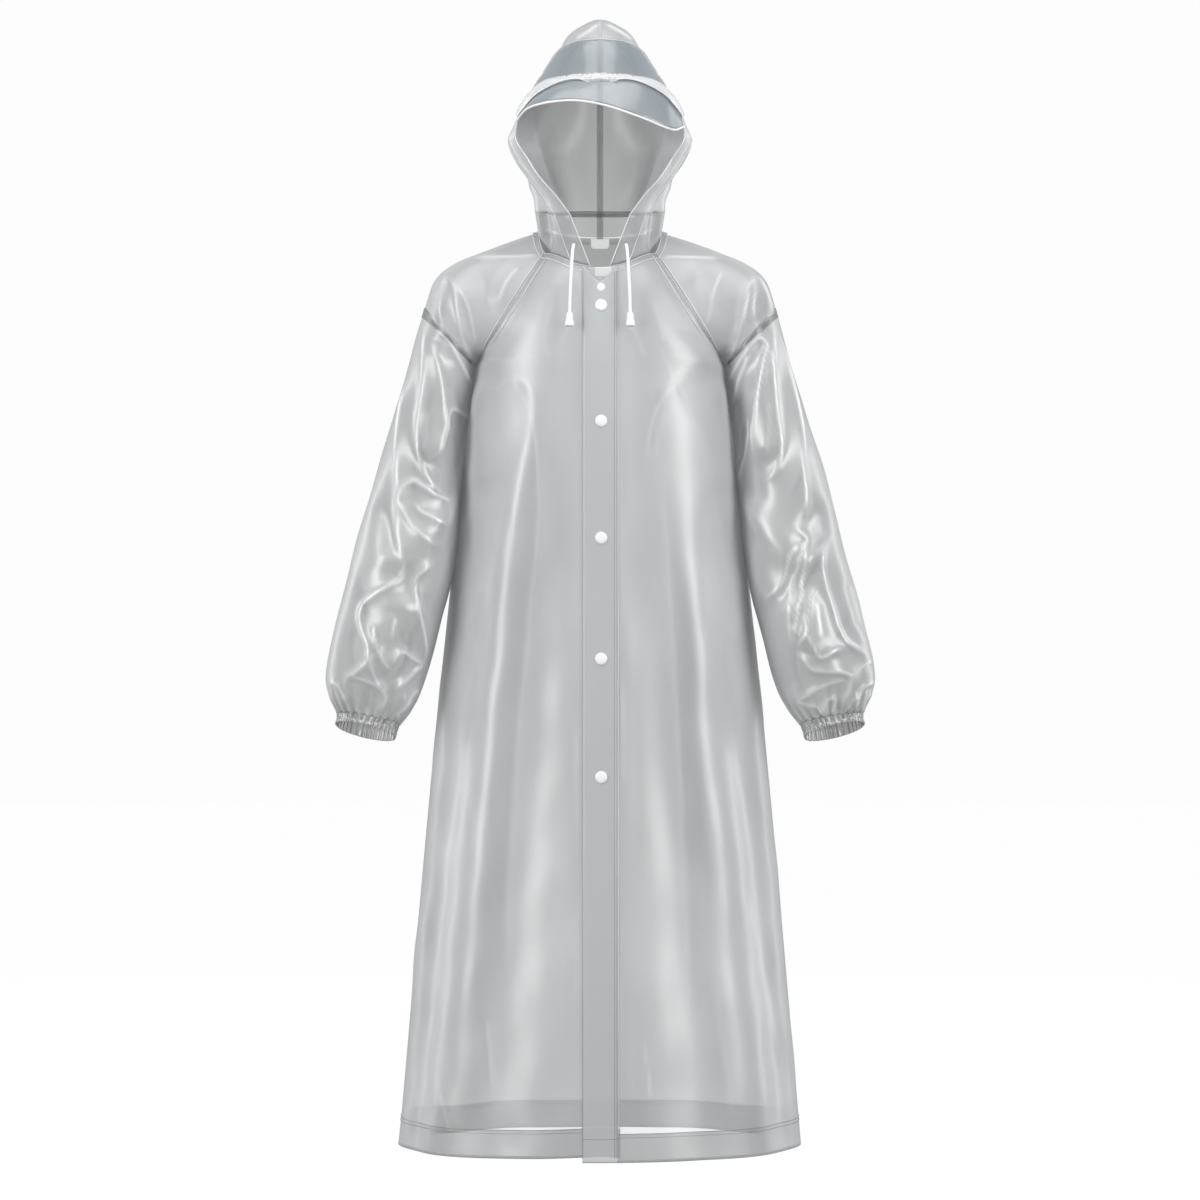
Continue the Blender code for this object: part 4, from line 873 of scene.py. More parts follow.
def crease_height(places, creases):
    """Height of the creases at places in a view, and how near each place is to a crest."""
    height, crest = np.zeros(len(places)), np.zeros(len(places))
    for each in creases:
        path = smooth_route(each.points, int(lengths(each.points)[-1] / CREASE_SPACING) + 2)
        reach = CREASE_REACH * each.width
        inside = np.all((places > path.min(axis=0) - reach) & (places < path.max(axis=0) + reach), axis=1)
        index = np.nonzero(inside)[0]
        if len(index) == 0:
            continue
        apart = places[index][:, None, :] - path[None, :, :]
        distance = np.linalg.norm(apart, axis=2)
        run = np.gradient(path, axis=0)
        side = np.sign(run[None, :, 0] * apart[:, :, 1] - run[None, :, 1] * apart[:, :, 0])
        along = even(len(path) - 1)
        taper = ease(0.0, CREASE_TAPER, along) * (1.0 - ease(1.0 - CREASE_TAPER, 1.0, along))
        width = each.width * (1.0 + LEAN * each.lean * side)
        rounded = CREST_ROUND * max(1.0, each.width / CREST_FOLD)
        profile = np.exp(rounded - np.sqrt((distance / width) ** 2 + rounded ** 2)) - np.exp(-CREASE_REACH)
        height[index] += each.height * np.maximum(profile * taper[None, :], 0.0).max(axis=1)
        # The crest mask: the film is made whiter along it, partly as stress-whitening and partly as painted
        # highlight
        reach = CREST_WIDTH * max(1.0, each.width / CREST_FOLD)
        sharp = (taper[None, :] * np.exp(-(distance / reach) ** 2)).max(axis=1)
        sharp *= np.sign(each.height) * min(1.0, CREST_FOLD / each.width) ** 2
        crest[index] = np.maximum(crest[index], sharp)
    return height, crest


def ripple(places, size):
    """A slight unevenness of the film, as long waves that cross each other."""
    total = np.zeros(len(places))
    for wave in RIPPLES:
        total += wave.share * np.sin(places @ (np.array(wave.direction) * 2 * np.pi / wave.length) + wave.start)
    return size * total


def pressed(grid, outward, creases, back_creases, edge_fade, wave=RIPPLE_SIZE):
    """The grid with creases raised where it faces the camera, others behind, and ripples all over."""
    places, normal = grid.reshape(-1, 3), outward.reshape(-1, 3)
    front = ease(*CREASE_FACING, -normal[:, 1])
    back = ease(*CREASE_FACING, normal[:, 1])
    height, crest = crease_height(front_view(places), creases)
    behind, crest_behind = crease_height(places[:, (0, 2)], back_creases)
    fade = edge_fade.reshape(-1)
    total = (height * front + behind * back + ripple(places, wave)) * fade
    crest = (crest * front + crest_behind * back) * fade
    return (places + normal * total[:, None]).reshape(grid.shape), crest.reshape(grid.shape[:2])


def faded(grid, first=0.0, last=0.0, top=0.0, bottom=0.0):
    """1 over a grid, falling to 0 at the edges that are given the width of the fall."""
    x = distances_across(grid)
    y = np.concatenate([np.zeros((1, grid.shape[1])), np.cumsum(gaps(grid, 0), axis=0)], axis=0)
    fade = np.ones(grid.shape[:2])
    for width, distance in ((first, x), (last, x[:, -1:] - x), (top, y), (bottom, y[-1:] - y)):
        if width > 0.0:
            fade = fade * ease(0.0, width, distance)
    return fade


# ---------------------------------------------------------------- grids of points

def refine(grid, spacing):
    """A grid with more rows, on smooth curves down its columns."""
    keys = depths_down(grid)
    slopes = np.gradient(grid, keys, axis=0)
    at = np.linspace(0.0, keys[-1], int(keys[-1] / spacing) + 1)
    i = np.clip(np.searchsorted(keys, at) - 1, 0, len(keys) - 2)
    span = (keys[i + 1] - keys[i])[:, None, None]
    return blend((at - keys[i])[:, None, None] / span, span, grid, slopes, i)


def raise_by(grid, distance, face=1):
    """The grid moved out along its normals."""
    return grid + face * normals(grid) * distance


def body_grid(face, folds, start, spacing, stop=None):
    """Points of a body panel from a distance off the centre to its side, with the large folds."""
    upper = front_section if face < 0 else back_section
    sections = [upper(s) for s in YOKE_ROWS] + [trunk_section(z, face) for z in TRUNK_ROWS]
    widest = max(lengths(section)[-1] for section in sections) if stop is None else stop
    columns = int((widest - start) / spacing) + 1
    rows = []
    for section in sections:
        end = lengths(section)[-1] if stop is None else stop
        distances = start + even(columns) * (end - start)
        points = walk(section, np.abs(distances))
        points[distances < 0] = mirrored(points[distances < 0])
        rows.append(points)
    full = np.array([lengths(section)[-1] for section in sections])
    depths = np.array([-section[-1, 2] for section in sections])
    coarse = np.array(rows)
    grid = refine(coarse, spacing)
    keys = depths_down(coarse)
    at = np.linspace(0.0, keys[-1], len(grid))
    row_full, row_depth = np.interp(at, keys, full), np.interp(at, keys, depths)
    heights = []
    for length, depth in zip(row_full, row_depth):
        end = length if stop is None else stop
        distances = start + even(columns) * (end - start)
        heights.append(fold_height(folds, depth, np.abs(distances) / length))
    return grid + normals(grid) * (-face * np.array(heights))[:, :, None]


def lifted(grid, start, low, high):
    """The grid raised by one layer up to the distance low off the centre, and not past high."""
    off = start + distances_across(grid)
    return grid + normals(grid) * (LAYER * (1.0 - ease(low, high, off)))[:, :, None]


def filled_out(grid):
    """The body a little wider below the arms, where it rests against the sleeves."""
    x, z = grid[:, :, 0], grid[:, :, 2]
    level = ease(*SIDE_FILL_RISE, z) * (1.0 - ease(*SIDE_FILL_FADE, z))
    share = SIDE_FILL * level * ease(*SIDE_FILL_ACROSS, np.abs(x))
    return grid + (np.sign(x) * share)[:, :, None] * np.array([1.0, 0.0, 0.0])


def front_grids():
    """The left front and the right one, with their crests."""
    grids = []
    for start, side in ((PLACKET_HALF, 1), (-UNDERLAP, -1)):
        grid = body_grid(-1, FRONT_FOLDS, start, BODY_STEP)
        if side > 0:
            grid = lifted(grid, start, STEP_START, STEP_END)
        else:
            low = ease(HEM_RISE_START, HEM_Z + HEM_DEPTH, grid[:, :, 2])
            share = 1.0 - np.abs(grid[:, :, 0]) / grid[:, -1:, 0]
            grid[:, :, 2] += RIGHT_HEM_RISE * low * share ** 2
        whole = grid if side > 0 else mirrored(grid)
        outward = normals(whole) * side
        off = np.abs(whole[:, :, 0])
        fade = faded(whole, last=SEAM_FADE, top=SEAM_FADE) * ease(PLACKET_HALF, PLACKET_HALF + CENTRE_FADE, off)
        grids.append(pressed(whole, outward, CHEST_CREASES, (), fade))
    return grids


def back_grid():
    """The back from the right side seam to the left one."""
    half = body_grid(1, BACK_FOLDS, 0.0, BODY_STEP)
    whole = np.concatenate([mirrored(half[:, :0:-1]), half], axis=1)
    fade = faded(whole, first=SEAM_FADE, last=SEAM_FADE, top=SEAM_FADE)
    return pressed(whole, -normals(whole), (), BACK_CREASES, fade)


def shoulder_grid(side):
    """A shoulder piece: rows from the neck outwards, columns from the front seam to the back one."""
    shares = even(int(SHOULDER_GIRTH / SHOULDER_STEP))
    rows = [spread(shoulder_section(s), shares) for s in even(int(SHOULDER_REACH / SHOULDER_STEP))]
    grid = on_side(np.array(rows), side)
    fade = faded(grid, first=SEAM_FADE, last=SEAM_FADE, top=SEAM_FADE, bottom=SEAM_FADE)
    return pressed(grid, normals(grid) * side, SHOULDER_CREASES, SHOULDER_BACK_CREASES, fade, SHOULDER_RIPPLE)


def tube_normals(grid):
    """Normals of a grid whose last column repeats its first."""
    wrapped = np.concatenate([grid[:, -2:-1], grid, grid[:, 1:2]], axis=1)
    return normals(wrapped)[:, 1:-1]


def sleeve_grid(side):
    """A sleeve: rows down the arm, columns round it, the first and last the same."""
    shares = even(int(SLEEVE_GIRTH / ARM_STEP))
    inner = np.minimum(shares, 1.0 - shares)
    points, heights = [], []
    for d in even(int(SLEEVE_LENGTH / ARM_STEP)):
        row = row_at(SLEEVE, d)
        row = row._replace(inner_x=row.inner_x - np.interp(d, *zip(*SLEEVE_TUCK)))
        points.append(spread(loop(row, ARMPIT_ROOM * (1.0 - ease(0.0, SLEEVE_ROOM_END, d))), shares))
        gather = (1.0 - d) * SLEEVE_LENGTH
        heights.append(fold_height(SLEEVE_FOLDS, d, shares) * ease(*SLEEVE_FOLD_EDGE, inner)
                       + SLEEVE_GATHER * np.cos(shares * 2 * np.pi * SLEEVE_GATHERS + GATHER_START[side])
                       * np.exp(-gather / GATHER_REACH))
    grid = np.array(points)
    grid = on_side(grid + tube_normals(grid) * np.array(heights)[:, :, None], side)
    creases = LEFT_VIEW_SLEEVE if side < 0 else RIGHT_VIEW_SLEEVE
    fade = faded(grid, top=SEAM_FADE / 2, bottom=SEAM_FADE / 2)
    return pressed(grid, tube_normals(grid) * side, creases, SLEEVE_BACK_CREASES[side], fade)


def cuff_grid(side):
    """A cuff with sharp gathers all round, drawn tighter along its middle."""
    shares = even(GATHER_POINTS * GATHERS)
    grid = np.array([spread(loop(row_at(CUFF, d), 0.0), shares) for d in even(CUFF_ROWS)])
    turn = shares * GATHERS * 2 * np.pi
    for size, waves, start in GATHER_SHIFTS:
        turn = turn + size * np.sin(shares * 2 * np.pi * waves + start)
    least, more, waves = GATHER_UNEVEN
    pleat = GATHER_DEPTH * (np.abs(np.cos(turn / 2)) * 2.0 - 1.0)
    pleat = pleat * (least + more * np.sin(shares * 2 * np.pi * waves))
    pinch = 1.0 - CUFF_PINCH * np.exp(-((even(CUFF_ROWS) - 0.5) / CUFF_PINCH_REACH) ** 2)
    grid = grid + tube_normals(grid) * (pleat[None, :] * pinch[:, None])[:, :, None]
    depth = grid[:, :, 1] - grid[:, :, 1].mean(axis=1, keepdims=True)
    grid[:, :, 2] -= even(CUFF_ROWS)[:, None] ** 2 * CUFF_TILT * depth / np.abs(depth).max()
    return on_side(grid, side)


def placket_grid():
    """The placket's strip, one layer above the fronts, with a V cut into its top."""
    grid = body_grid(-1, FRONT_FOLDS, -PLACKET_HALF, PLACKET_SPACING, stop=PLACKET_HALF)
    grid = raise_by(grid, LAYER)
    columns = []
    for column in np.swapaxes(grid, 0, 1):
        full = lengths(column)[-1]
        cut = NOTCH_DEPTH * max(0.0, 1.0 - abs(column[0, 0]) / PLACKET_HALF)
        columns.append(walk(column, cut + even(len(column) - 1) * (full - cut)))
    return np.swapaxes(np.array(columns), 0, 1)


def hood_grid(heights, side, behind_window=False, width=None):
    """Points of one side of the hood at heights, from its front edge or the window to the centre back."""
    rows, folds = [], []
    longest = max(lengths(hood_section(max(h, COLLAR_TOP)))[-1] for h in heights)
    columns = int((width or longest) / HOOD_STEP) + 1
    for h in heights:
        section = slice_at(h)
        full = lengths(section)[-1]
        start = full * (window_share(h) if behind_window else 0.0)
        end = full if width is None else min(width, CASING_SHARE * full)
        distances = start + even(columns) * (end - start)
        rows.append(walk(section, distances))
        folds.append(fold_height(HOOD_FOLDS, h, distances / full))
    grid = np.array(rows)
    return on_side(grid - normals(grid) * np.array(folds)[:, :, None], side)


def window_share(h):
    """The share of a slice of the hood that the clear window takes, from the front edge or the centre."""
    heights = [WINDOW[0].edge_h] + [row.seam_h for row in WINDOW]
    shares = [0.0] + [row.seam_share for row in WINDOW]
    inner = max(np.interp(h, heights, shares), 0.0)
    return inner * WINDOW_CUT if WINDOW[0].edge_h < h < WINDOW[-1].seam_h else 0.0


def window_line(p, steps):
    """Points of the hood from its forehead edge to the window's seam; p runs from the temple to the centre."""
    row = row_at(WINDOW, p)
    line = []
    for q in even(steps):
        section = hood_section(row.edge_h + (row.seam_h - row.edge_h) * q)
        line.append(spread(section, np.array([max(row.seam_share, 0.0) * q]))[0])
    return np.array(line)


def forehead_grid(first, last, columns, lift):
    """A strip over the forehead, temple to temple, between two distances from its edge or on to the seam."""
    half = []
    for p in even(WINDOW_ROWS)[::-1]:
        line = window_line(p, WINDOW_STEPS)
        end = lengths(line)[-1] if last is None else last
        half.append(walk(line, first + even(columns) * (end - first)))
    half = np.array(half)
    half[0, :, 0] = 0.0
    return raise_by(np.concatenate([mirrored(half[:0:-1]), half]), lift)


def brim_grid():
    """The brim from the forehead edge to its piping, from the right temple to the left."""
    rows = []
    for t in even(BRIM_ROWS):
        edge = on_side(window_line(1.0 - abs(2.0 * t - 1.0), 1)[0], np.sign(t - 0.5))
        rim = np.array(row_at(BRIM, t)[1:])
        full = np.linalg.norm(rim - edge)
        shares = (BRIM_START + (full - BRIM_START - BRIM_END) * even(BRIM_COLUMNS)) / full
        line = edge + (rim - edge) * shares[:, None]
        line[:, 2] += BRIM_BOW * np.sin(np.pi * shares)
        rows.append(line)
    return np.array(rows)


# ---------------------------------------------------------------- materials

def feed(tree, made, inputs):
    """Sets a node's inputs, each to a value or to another node's output."""
    for name, value in inputs.items():
        if isinstance(value, bpy.types.NodeSocket):
            tree.links.new(value, made.inputs[name])
        else:
            made.inputs[name].default_value = value
    return made


def node(tree, kind, inputs=None, **settings):
    """A shader node with its settings and its inputs."""
    made = tree.nodes.new(kind)
    for name, value in settings.items():
        setattr(made, name, value)
    return feed(tree, made, inputs or {})


def new_material(name):
    """A material, its tree, its shader and the place on the piece."""
    made = bpy.data.materials.new(name)
    made.use_nodes = True
    tree = made.node_tree
    return made, tree, tree.nodes["Principled BSDF"], node(tree, "ShaderNodeTexCoord").outputs["Object"]


def math(tree, operation, first, second, **settings):
    """Arithmetic with two values or outputs."""
    return node(tree, "ShaderNodeMath", {0: first, 1: second}, operation=operation, **settings).outputs[0]


def ranged(tree, value, low, high):
    """A value from 0 to 1 mapped to a range."""
    return node(tree, "ShaderNodeMapRange", {"Value": value, "To Min": low, "To Max": high}).outputs[0]


def bump(tree, height, strength, distance):
    """The normals of a surface with a fine relief."""
    made = node(tree, "ShaderNodeBump", {"Height": height, "Strength": strength, "Distance": distance})
    return made.outputs[0]


def noise(tree, place, scale, detail=2.0):
    """Soft spots over the piece, from 0 to 1."""
    found = node(tree, "ShaderNodeTexNoise", {"Vector": place, "Scale": scale, "Detail": detail})
    return found.outputs["Fac"]


def mix(tree, factor, first, second):
    """A colour between two others."""
    first, second = (value if isinstance(value, bpy.types.NodeSocket) else (*value, 1.0)
                     for value in (first, second))
    return node(tree, "ShaderNodeMix", {"Factor": factor, 6: first, 7: second}, data_type="RGBA").outputs[2]


# Colour and clearness of the outside and the inside, roughness, coat, grain, and how much creases whiten it
# (partly as stress-whitening, partly as painted highlight). On most films the inside's colour is darker than the
# outside's: painted shade of the coat's interior.
Film = namedtuple("Film", "colour clear inside_colour inside_clear roughness coat grain crease_density")
FILMS = {
    "film": Film((0.62, 0.645, 0.655), 0.56, (0.38, 0.395, 0.40), 0.28, 0.40, 0.70, 0.020, 0.06),
    "arm_film": Film((0.67, 0.69, 0.695), 0.54, (0.22, 0.23, 0.235), 0.26, 0.34, 0.8, 0.020, 0.20),
    "hem_film": Film((0.24, 0.255, 0.265), 0.26, (0.26, 0.27, 0.275), 0.60, 0.44, 0.5, 0.020, 0.06),
    "cuff_film": Film((0.40, 0.405, 0.41), 0.46, (0.16, 0.164, 0.167), 0.25, 0.30, 0.9, 0.020, 0.80),
    "placket_film": Film((0.47, 0.495, 0.505), 0.16, (0.30, 0.31, 0.315), 0.40, 0.42, 0.5, 0.020, 0.06),
    "hood_film": Film((0.60, 0.62, 0.63), 0.55, (0.40, 0.41, 0.415), 0.30, 0.34, 0.8, 0.020, 0.20),
    "collar_film": Film((0.58, 0.60, 0.61), 0.62, (0.34, 0.35, 0.355), 0.34, 0.34, 0.8, 0.020, 0.20),
    "casing_film": Film((0.80, 0.82, 0.83), 0.55, (0.80, 0.815, 0.825), 0.40, 0.30, 0.9, 0.020, 0.30),
    "tape_film": Film((0.44, 0.455, 0.465), 0.82, (0.30, 0.31, 0.32), 0.80, 0.36, 0.8, 0.020, 0.20),
    "seam_film": Film((0.22, 0.225, 0.23), 0.56, (0.16, 0.165, 0.17), 0.50, 0.36, 0.4, 0.020, 0.20),
    "hood_seam_film": Film((0.14, 0.142, 0.145), 0.42, (0.16, 0.162, 0.165), 0.42, 0.36, 0.4, 0.020, 0.20),
    "bright_film": Film((0.90, 0.91, 0.92), 0.35, (0.90, 0.91, 0.92), 0.35, 0.25, 0.8, 0.010, 0.20),
    "band_film": Film((0.82, 0.83, 0.84), 0.42, (0.60, 0.61, 0.62), 0.42, 0.30, 0.8, 0.010, 0.20),
    "clear_film": Film((0.34, 0.41, 0.46), 0.66, (0.22, 0.28, 0.32), 0.64, 0.22, 0.8, 0.004, 0.30),
}


def film_material(name, inside):
    """One face of a translucent film: denser at a slant, darker at its outline, and whiter along its creases,
    partly as stress-whitening and partly as painted highlight, and on the hood's sides as painted light.

    Only the face towards the viewer is drawn; behind it the film's other face is clear.
    """
    film = FILMS[name]
    # The inside face takes its own colour, darker on most films: painted shade inside the coat
    colour, clearness = (film.inside_colour, film.inside_clear) if inside else (film.colour, film.clear)
    made, tree, shader, place = new_material(name + "_inside" if inside else name)
    # The crest mask makes the film whiter: partly stress-whitening, partly painted highlight, and on the hood's
    # sides painted light
    crest = node(tree, "ShaderNodeAttribute", attribute_name="crest").outputs["Fac"]
    crest = math(tree, "MULTIPLY", crest, INSIDE_CREST if inside else OUTSIDE_CREST, use_clamp=True)
    long = node(tree, "ShaderNodeMapping", {"Vector": place, "Scale": CLOUD_STRETCH}).outputs[0]
    cloudy = noise(tree, long, CLOUD_SCALE)
    tint = mix(tree, cloudy, colour, [value * CLOUD_TINT for value in colour])
    tint = mix(tree, crest, tint, CREASE_WHITE_AND_PAINTED_LIGHT)
    facing = node(tree, "ShaderNodeLayerWeight", {"Blend": 0.5}).outputs["Facing"]
    rim = node(tree, "ShaderNodeMapRange",
               {"Value": facing, "From Min": RIM_START, "To Max": RIM_DARK}).outputs[0]
    tint = mix(tree, rim, tint, [value * RIM_TINT for value in colour])
    cosine = math(tree, "MAXIMUM", math(tree, "SUBTRACT", 1.0, facing), SLANT_LIMIT)
    thickness = math(tree, "MULTIPLY_ADD", cloudy, CLOUD_DEPTH)
    clear = math(tree, "POWER", clearness, math(tree, "DIVIDE", thickness, cosine))
    extra = math(tree, "MULTIPLY", crest, film.crease_density)
    alpha = math(tree, "ADD", math(tree, "SUBTRACT", 1.0, clear), extra, use_clamp=True)
    behind = node(tree, "ShaderNodeNewGeometry").outputs["Backfacing"]
    low, high = (film.roughness + change for change in ROUGHNESS_SPREAD)
    feed(tree, shader, {
        "Base Color": tint,
        "Alpha": math(tree, "MULTIPLY", alpha, math(tree, "SUBTRACT", 1.0, behind)),
        "Roughness": ranged(tree, cloudy, low, high),
        "Normal": bump(tree, noise(tree, place, GRAIN_SCALE, FINE_DETAIL), film.grain, BUMP_DEPTH),
        "Coat Weight": film.coat, "Coat Roughness": COAT_ROUGHNESS, "Coat IOR": COAT_IOR,
        "Specular IOR Level": FILM_SPECULAR, "IOR": FILM_IOR,
    })
    return made


# Smooth white plastic or braided cord: colour, roughness, its spots' scale and relief, and painted light given
# off as an emission, standing for light coming through it and lifting the piece out of the shade inside the coat
Trim = namedtuple("Trim", "colour roughness scale relief glow braided")
TRIMS = {
    # The hanger tab gives off painted light, so that it stays white in the shade inside the back
    "tab_white": Trim((0.90, 0.90, 0.91), 0.5, 420.0, 0.05, 0.45, False),
    "white_trim": Trim((0.86, 0.86, 0.87), 0.42, 420.0, 0.08, 0.0, False),
    "snap": Trim((0.80, 0.80, 0.81), 0.32, 260.0, 0.05, 0.0, False),
    "cord": Trim((0.93, 0.93, 0.93), 0.6, 900.0, 0.2, 0.0, True),
}


def trim_material(name):
    """Opaque trim with slight spots, in its colour and in its relief."""
    trim = TRIMS[name]
    made, tree, shader, place = new_material(name)
    spots = noise(tree, place, trim.scale, FINE_DETAIL)
    relief = bump(tree, spots, trim.relief, TRIM_BUMP_DEPTH)
    if trim.braided:
        braid = node(tree, "ShaderNodeTexWave", {"Vector": place, "Scale": BRAID_SCALE,
                                                 "Distortion": BRAID_DISTORTION}, bands_direction="DIAGONAL")
        relief = bump(tree, braid.outputs["Fac"], BRAID_BUMP, BRAID_BUMP_DEPTH)
    feed(tree, shader, {
        "Base Color": mix(tree, spots, trim.colour, [value * TRIM_TINT for value in trim.colour]),
        "Roughness": ranged(tree, spots, trim.roughness - TRIM_SPREAD, trim.roughness + TRIM_SPREAD),
        "Normal": relief, "Specular IOR Level": TRIM_SPECULAR,
        "Emission Color": WHITE, "Emission Strength": trim.glow,
    })
    return made


# ---------------------------------------------------------------- pieces

def placed(name, data):
    """A new object of the scene."""
    made = bpy.data.objects.new(name, data)
    bpy.context.scene.collection.objects.link(made)
    return made


def finished(piece, nodes):
    """Rides the piece on the coat, and hides the solids that it stands for."""
    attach(piece, "root")
    if nodes:
        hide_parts(*nodes)
    return piece


def grid_mesh(name, grid, face, closed, crest):
    """A mesh of quads through a grid of points. A closed grid's last column is its first.

    face is 1 where the grid's normals point out of the garment, and -1 where they point into it.
    """
    if closed:
        grid = grid[:, :-1]
        crest = None if crest is None else crest[:, :-1]
    rows, columns = grid.shape[:2]
    index = np.arange(rows * columns).reshape(rows, columns)
    right = np.roll(index, -1, axis=1)
    faces = np.stack([index[:-1], index[1:], right[1:], right[:-1]], axis=2)
    if not closed:
        faces = faces[:, :-1]
    faces = faces[:, :, ::face]
    mesh = bpy.data.meshes.new(name)
    mesh.from_pydata(grid.reshape(-1, 3).tolist(), [], faces.reshape(-1, 4).tolist())
    values = np.zeros(rows * columns) if crest is None else np.abs(crest).reshape(-1)
    mesh.attributes.new("crest", "FLOAT", "POINT").data.foreach_set("value", values.astype(np.float32))
    mesh.shade_smooth()
    return mesh


def cloth(name, grid, face, look, nodes=(), closed=False, crest=None):
    """A piece of film: a thin shell through a grid of points, with an outside and an inside."""
    piece = placed(name, grid_mesh(name, grid, face, closed, crest))
    for film in look:
        piece.data.materials.append(film)
    solid = piece.modifiers.new("Film", "SOLIDIFY")
    solid.thickness = FILM
    solid.offset = 0.0
    solid.material_offset = 1
    return finished(piece, nodes)


def sheet(grid):
    """Works out a piece of cloth's longest row and column and its area, and does nothing with them."""
    across, down = gaps(grid, 1), gaps(grid, 0)
    width, length = across.sum(axis=1).max(), down.sum(axis=0).max()
    area = float((across[:-1] * (down[:, :-1] + down[:, 1:]) / 2).sum())
    area = min(area, width * length)


def rods(name, routes, radius, roundness, look):
    """Round rods along several routes, in one object."""
    curve = bpy.data.curves.new(name, "CURVE")
    curve.dimensions = "3D"
    curve.bevel_depth = radius
    curve.bevel_resolution = roundness
    curve.use_fill_caps = True
    for route in routes:
        spline = curve.splines.new("POLY")
        spline.points.add(len(route) - 1)
        for point, place in zip(spline.points, route):
            point.co = (*place, 1.0)
    curve.materials.append(look[0])
    return placed(name, curve)


def lines(name, routes, radius, look):
    """Fine raised lines, such as stitching, along several routes in one piece."""
    return finished(rods(name, routes, radius, LINE_ROUNDNESS, look), ())


def turned(name, profile, steps, look, place, direction, nodes):
    """A profile of (radius, height) turned about an axis, placed with its height along direction."""
    outline = smooth_route(np.array(profile), 3 * len(profile))
    outline[0, 0] = outline[-1, 0] = 0.0
    turn = np.arange(steps) * 2 * np.pi / steps
    grid = np.stack([outline[:, None, 0] * np.cos(turn), outline[:, None, 0] * np.sin(turn),
                     outline[:, None, 1] * np.ones(steps)], axis=2)
    index = np.arange(len(outline) * steps).reshape(len(outline), steps)
    right = np.roll(index, -1, axis=1)
    faces = np.stack([index[:-1], right[:-1], right[1:], index[1:]], axis=2).reshape(-1, 4)
    mesh = bpy.data.meshes.new(name)
    mesh.from_pydata(grid.reshape(-1, 3).tolist(), [], faces.tolist())
    cleaned = bmesh.new()
    cleaned.from_mesh(mesh)
    bmesh.ops.remove_doubles(cleaned, verts=cleaned.verts, dist=WELD)
    bmesh.ops.recalc_face_normals(cleaned, faces=cleaned.faces)
    cleaned.to_mesh(mesh)
    cleaned.free()
    mesh.shade_smooth()
    mesh.materials.append(look[0])
    piece = placed(name, mesh)
    piece.location = Vector(place)
    piece.rotation_euler = Vector(direction).to_track_quat("Z", "Y").to_euler()
    return finished(piece, nodes)


# ---------------------------------------------------------------- camera, light and floor

def make_camera():
    """The photo's level view from the front."""
    camera = bpy.data.cameras.new("camera")
    camera.sensor_width = 1000 * SENSOR_WIDTH
    camera.lens = 1000 * SENSOR_WIDTH * CAMERA_DISTANCE / FRAME_WIDTH
    camera.clip_end = 50.0
    viewer = placed("camera", camera)
    viewer.location = (0.0, -CAMERA_DISTANCE, CAMERA_HEIGHT)
    viewer.rotation_euler = (np.pi / 2, 0.0, 0.0)
    bpy.context.scene.camera = viewer


def make_lights():
    """Soft boxes around the coat, and a white world."""
    for name, place, size, power in SOFT_BOXES:
        light = bpy.data.lights.new(name, "AREA")
        light.shape = "RECTANGLE"
        light.size, light.size_y = size
        light.energy = power
        box = placed(name, light)
        box.location = place
        box.rotation_euler = (Vector(LIT_MIDDLE) - Vector(place)).to_track_quat("-Z", "Y").to_euler()
        box.visible_camera = False
        box.visible_glossy = name not in DULL_BOXES
    world = bpy.data.worlds.new("studio")
    world.use_nodes = True
    tree = world.node_tree
    feed(tree, tree.nodes["Background"], {"Color": WHITE, "Strength": backdrop_light(tree)})
    bpy.context.scene.world = world


def backdrop_light(tree):
    """Near white where it is seen, and a softer light on the coat."""
    return ranged(tree, node(tree, "ShaderNodeLightPath").outputs["Is Camera Ray"], WORLD_LIGHT, WORLD_SEEN)


def make_floor():
    """A pale studio floor that the coat hangs above."""
    made, tree, shader, place = new_material("floor")
    feed(tree, shader, {
        "Base Color": mix(tree, noise(tree, place, FLOOR_SCALE), FLOOR_COLOUR, FLOOR_SHADE),
        "Roughness": FLOOR_ROUGHNESS, "Specular IOR Level": 0.0,
        "Emission Color": WHITE, "Emission Strength": backdrop_light(tree),
    })
    mesh = bpy.data.meshes.new("floor")
    turn = np.arange(FLOOR_POINTS) * 2 * np.pi / FLOOR_POINTS
    ring = np.column_stack([FLOOR_RADIUS * np.cos(turn), FLOOR_RADIUS * np.sin(turn),
                            np.full(FLOOR_POINTS, FLOOR_Z)])
    mesh.from_pydata(ring.tolist(), [], [list(range(FLOOR_POINTS))])
    mesh.materials.append(made)
    floor = placed("floor", mesh)


# ---------------------------------------------------------------- the pieces

def make_cords(looks):
    """The drawcord's two free ends, each with its bell."""
    for name, side in SIDES:
        route = on_side(smooth_route(CORD_ROUTE, CORD_POINTS), side)
        cord = rods("drawcord_" + name, [route], CORD_RADIUS, CORD_ROUNDNESS, looks["cord"])
        finished(cord, ["cord_" + name])
        run = route[-1] - route[-2]
        place = route[-1] + run * (2 * HALF_GAP / np.linalg.norm(run))
        bell = turned("bell_" + name, CORD_END_PROFILE, ROUND_STEPS, looks["white_trim"], place, -run,
                      ["cord_end_" + name])


def bottom_rows(grid, depth):
    """How many rows reach from a grid's end to just past a depth above it."""
    from_end = np.cumsum(gaps(grid, 0).mean(axis=1)[::-1])
    return int(np.searchsorted(from_end, depth)) + 2


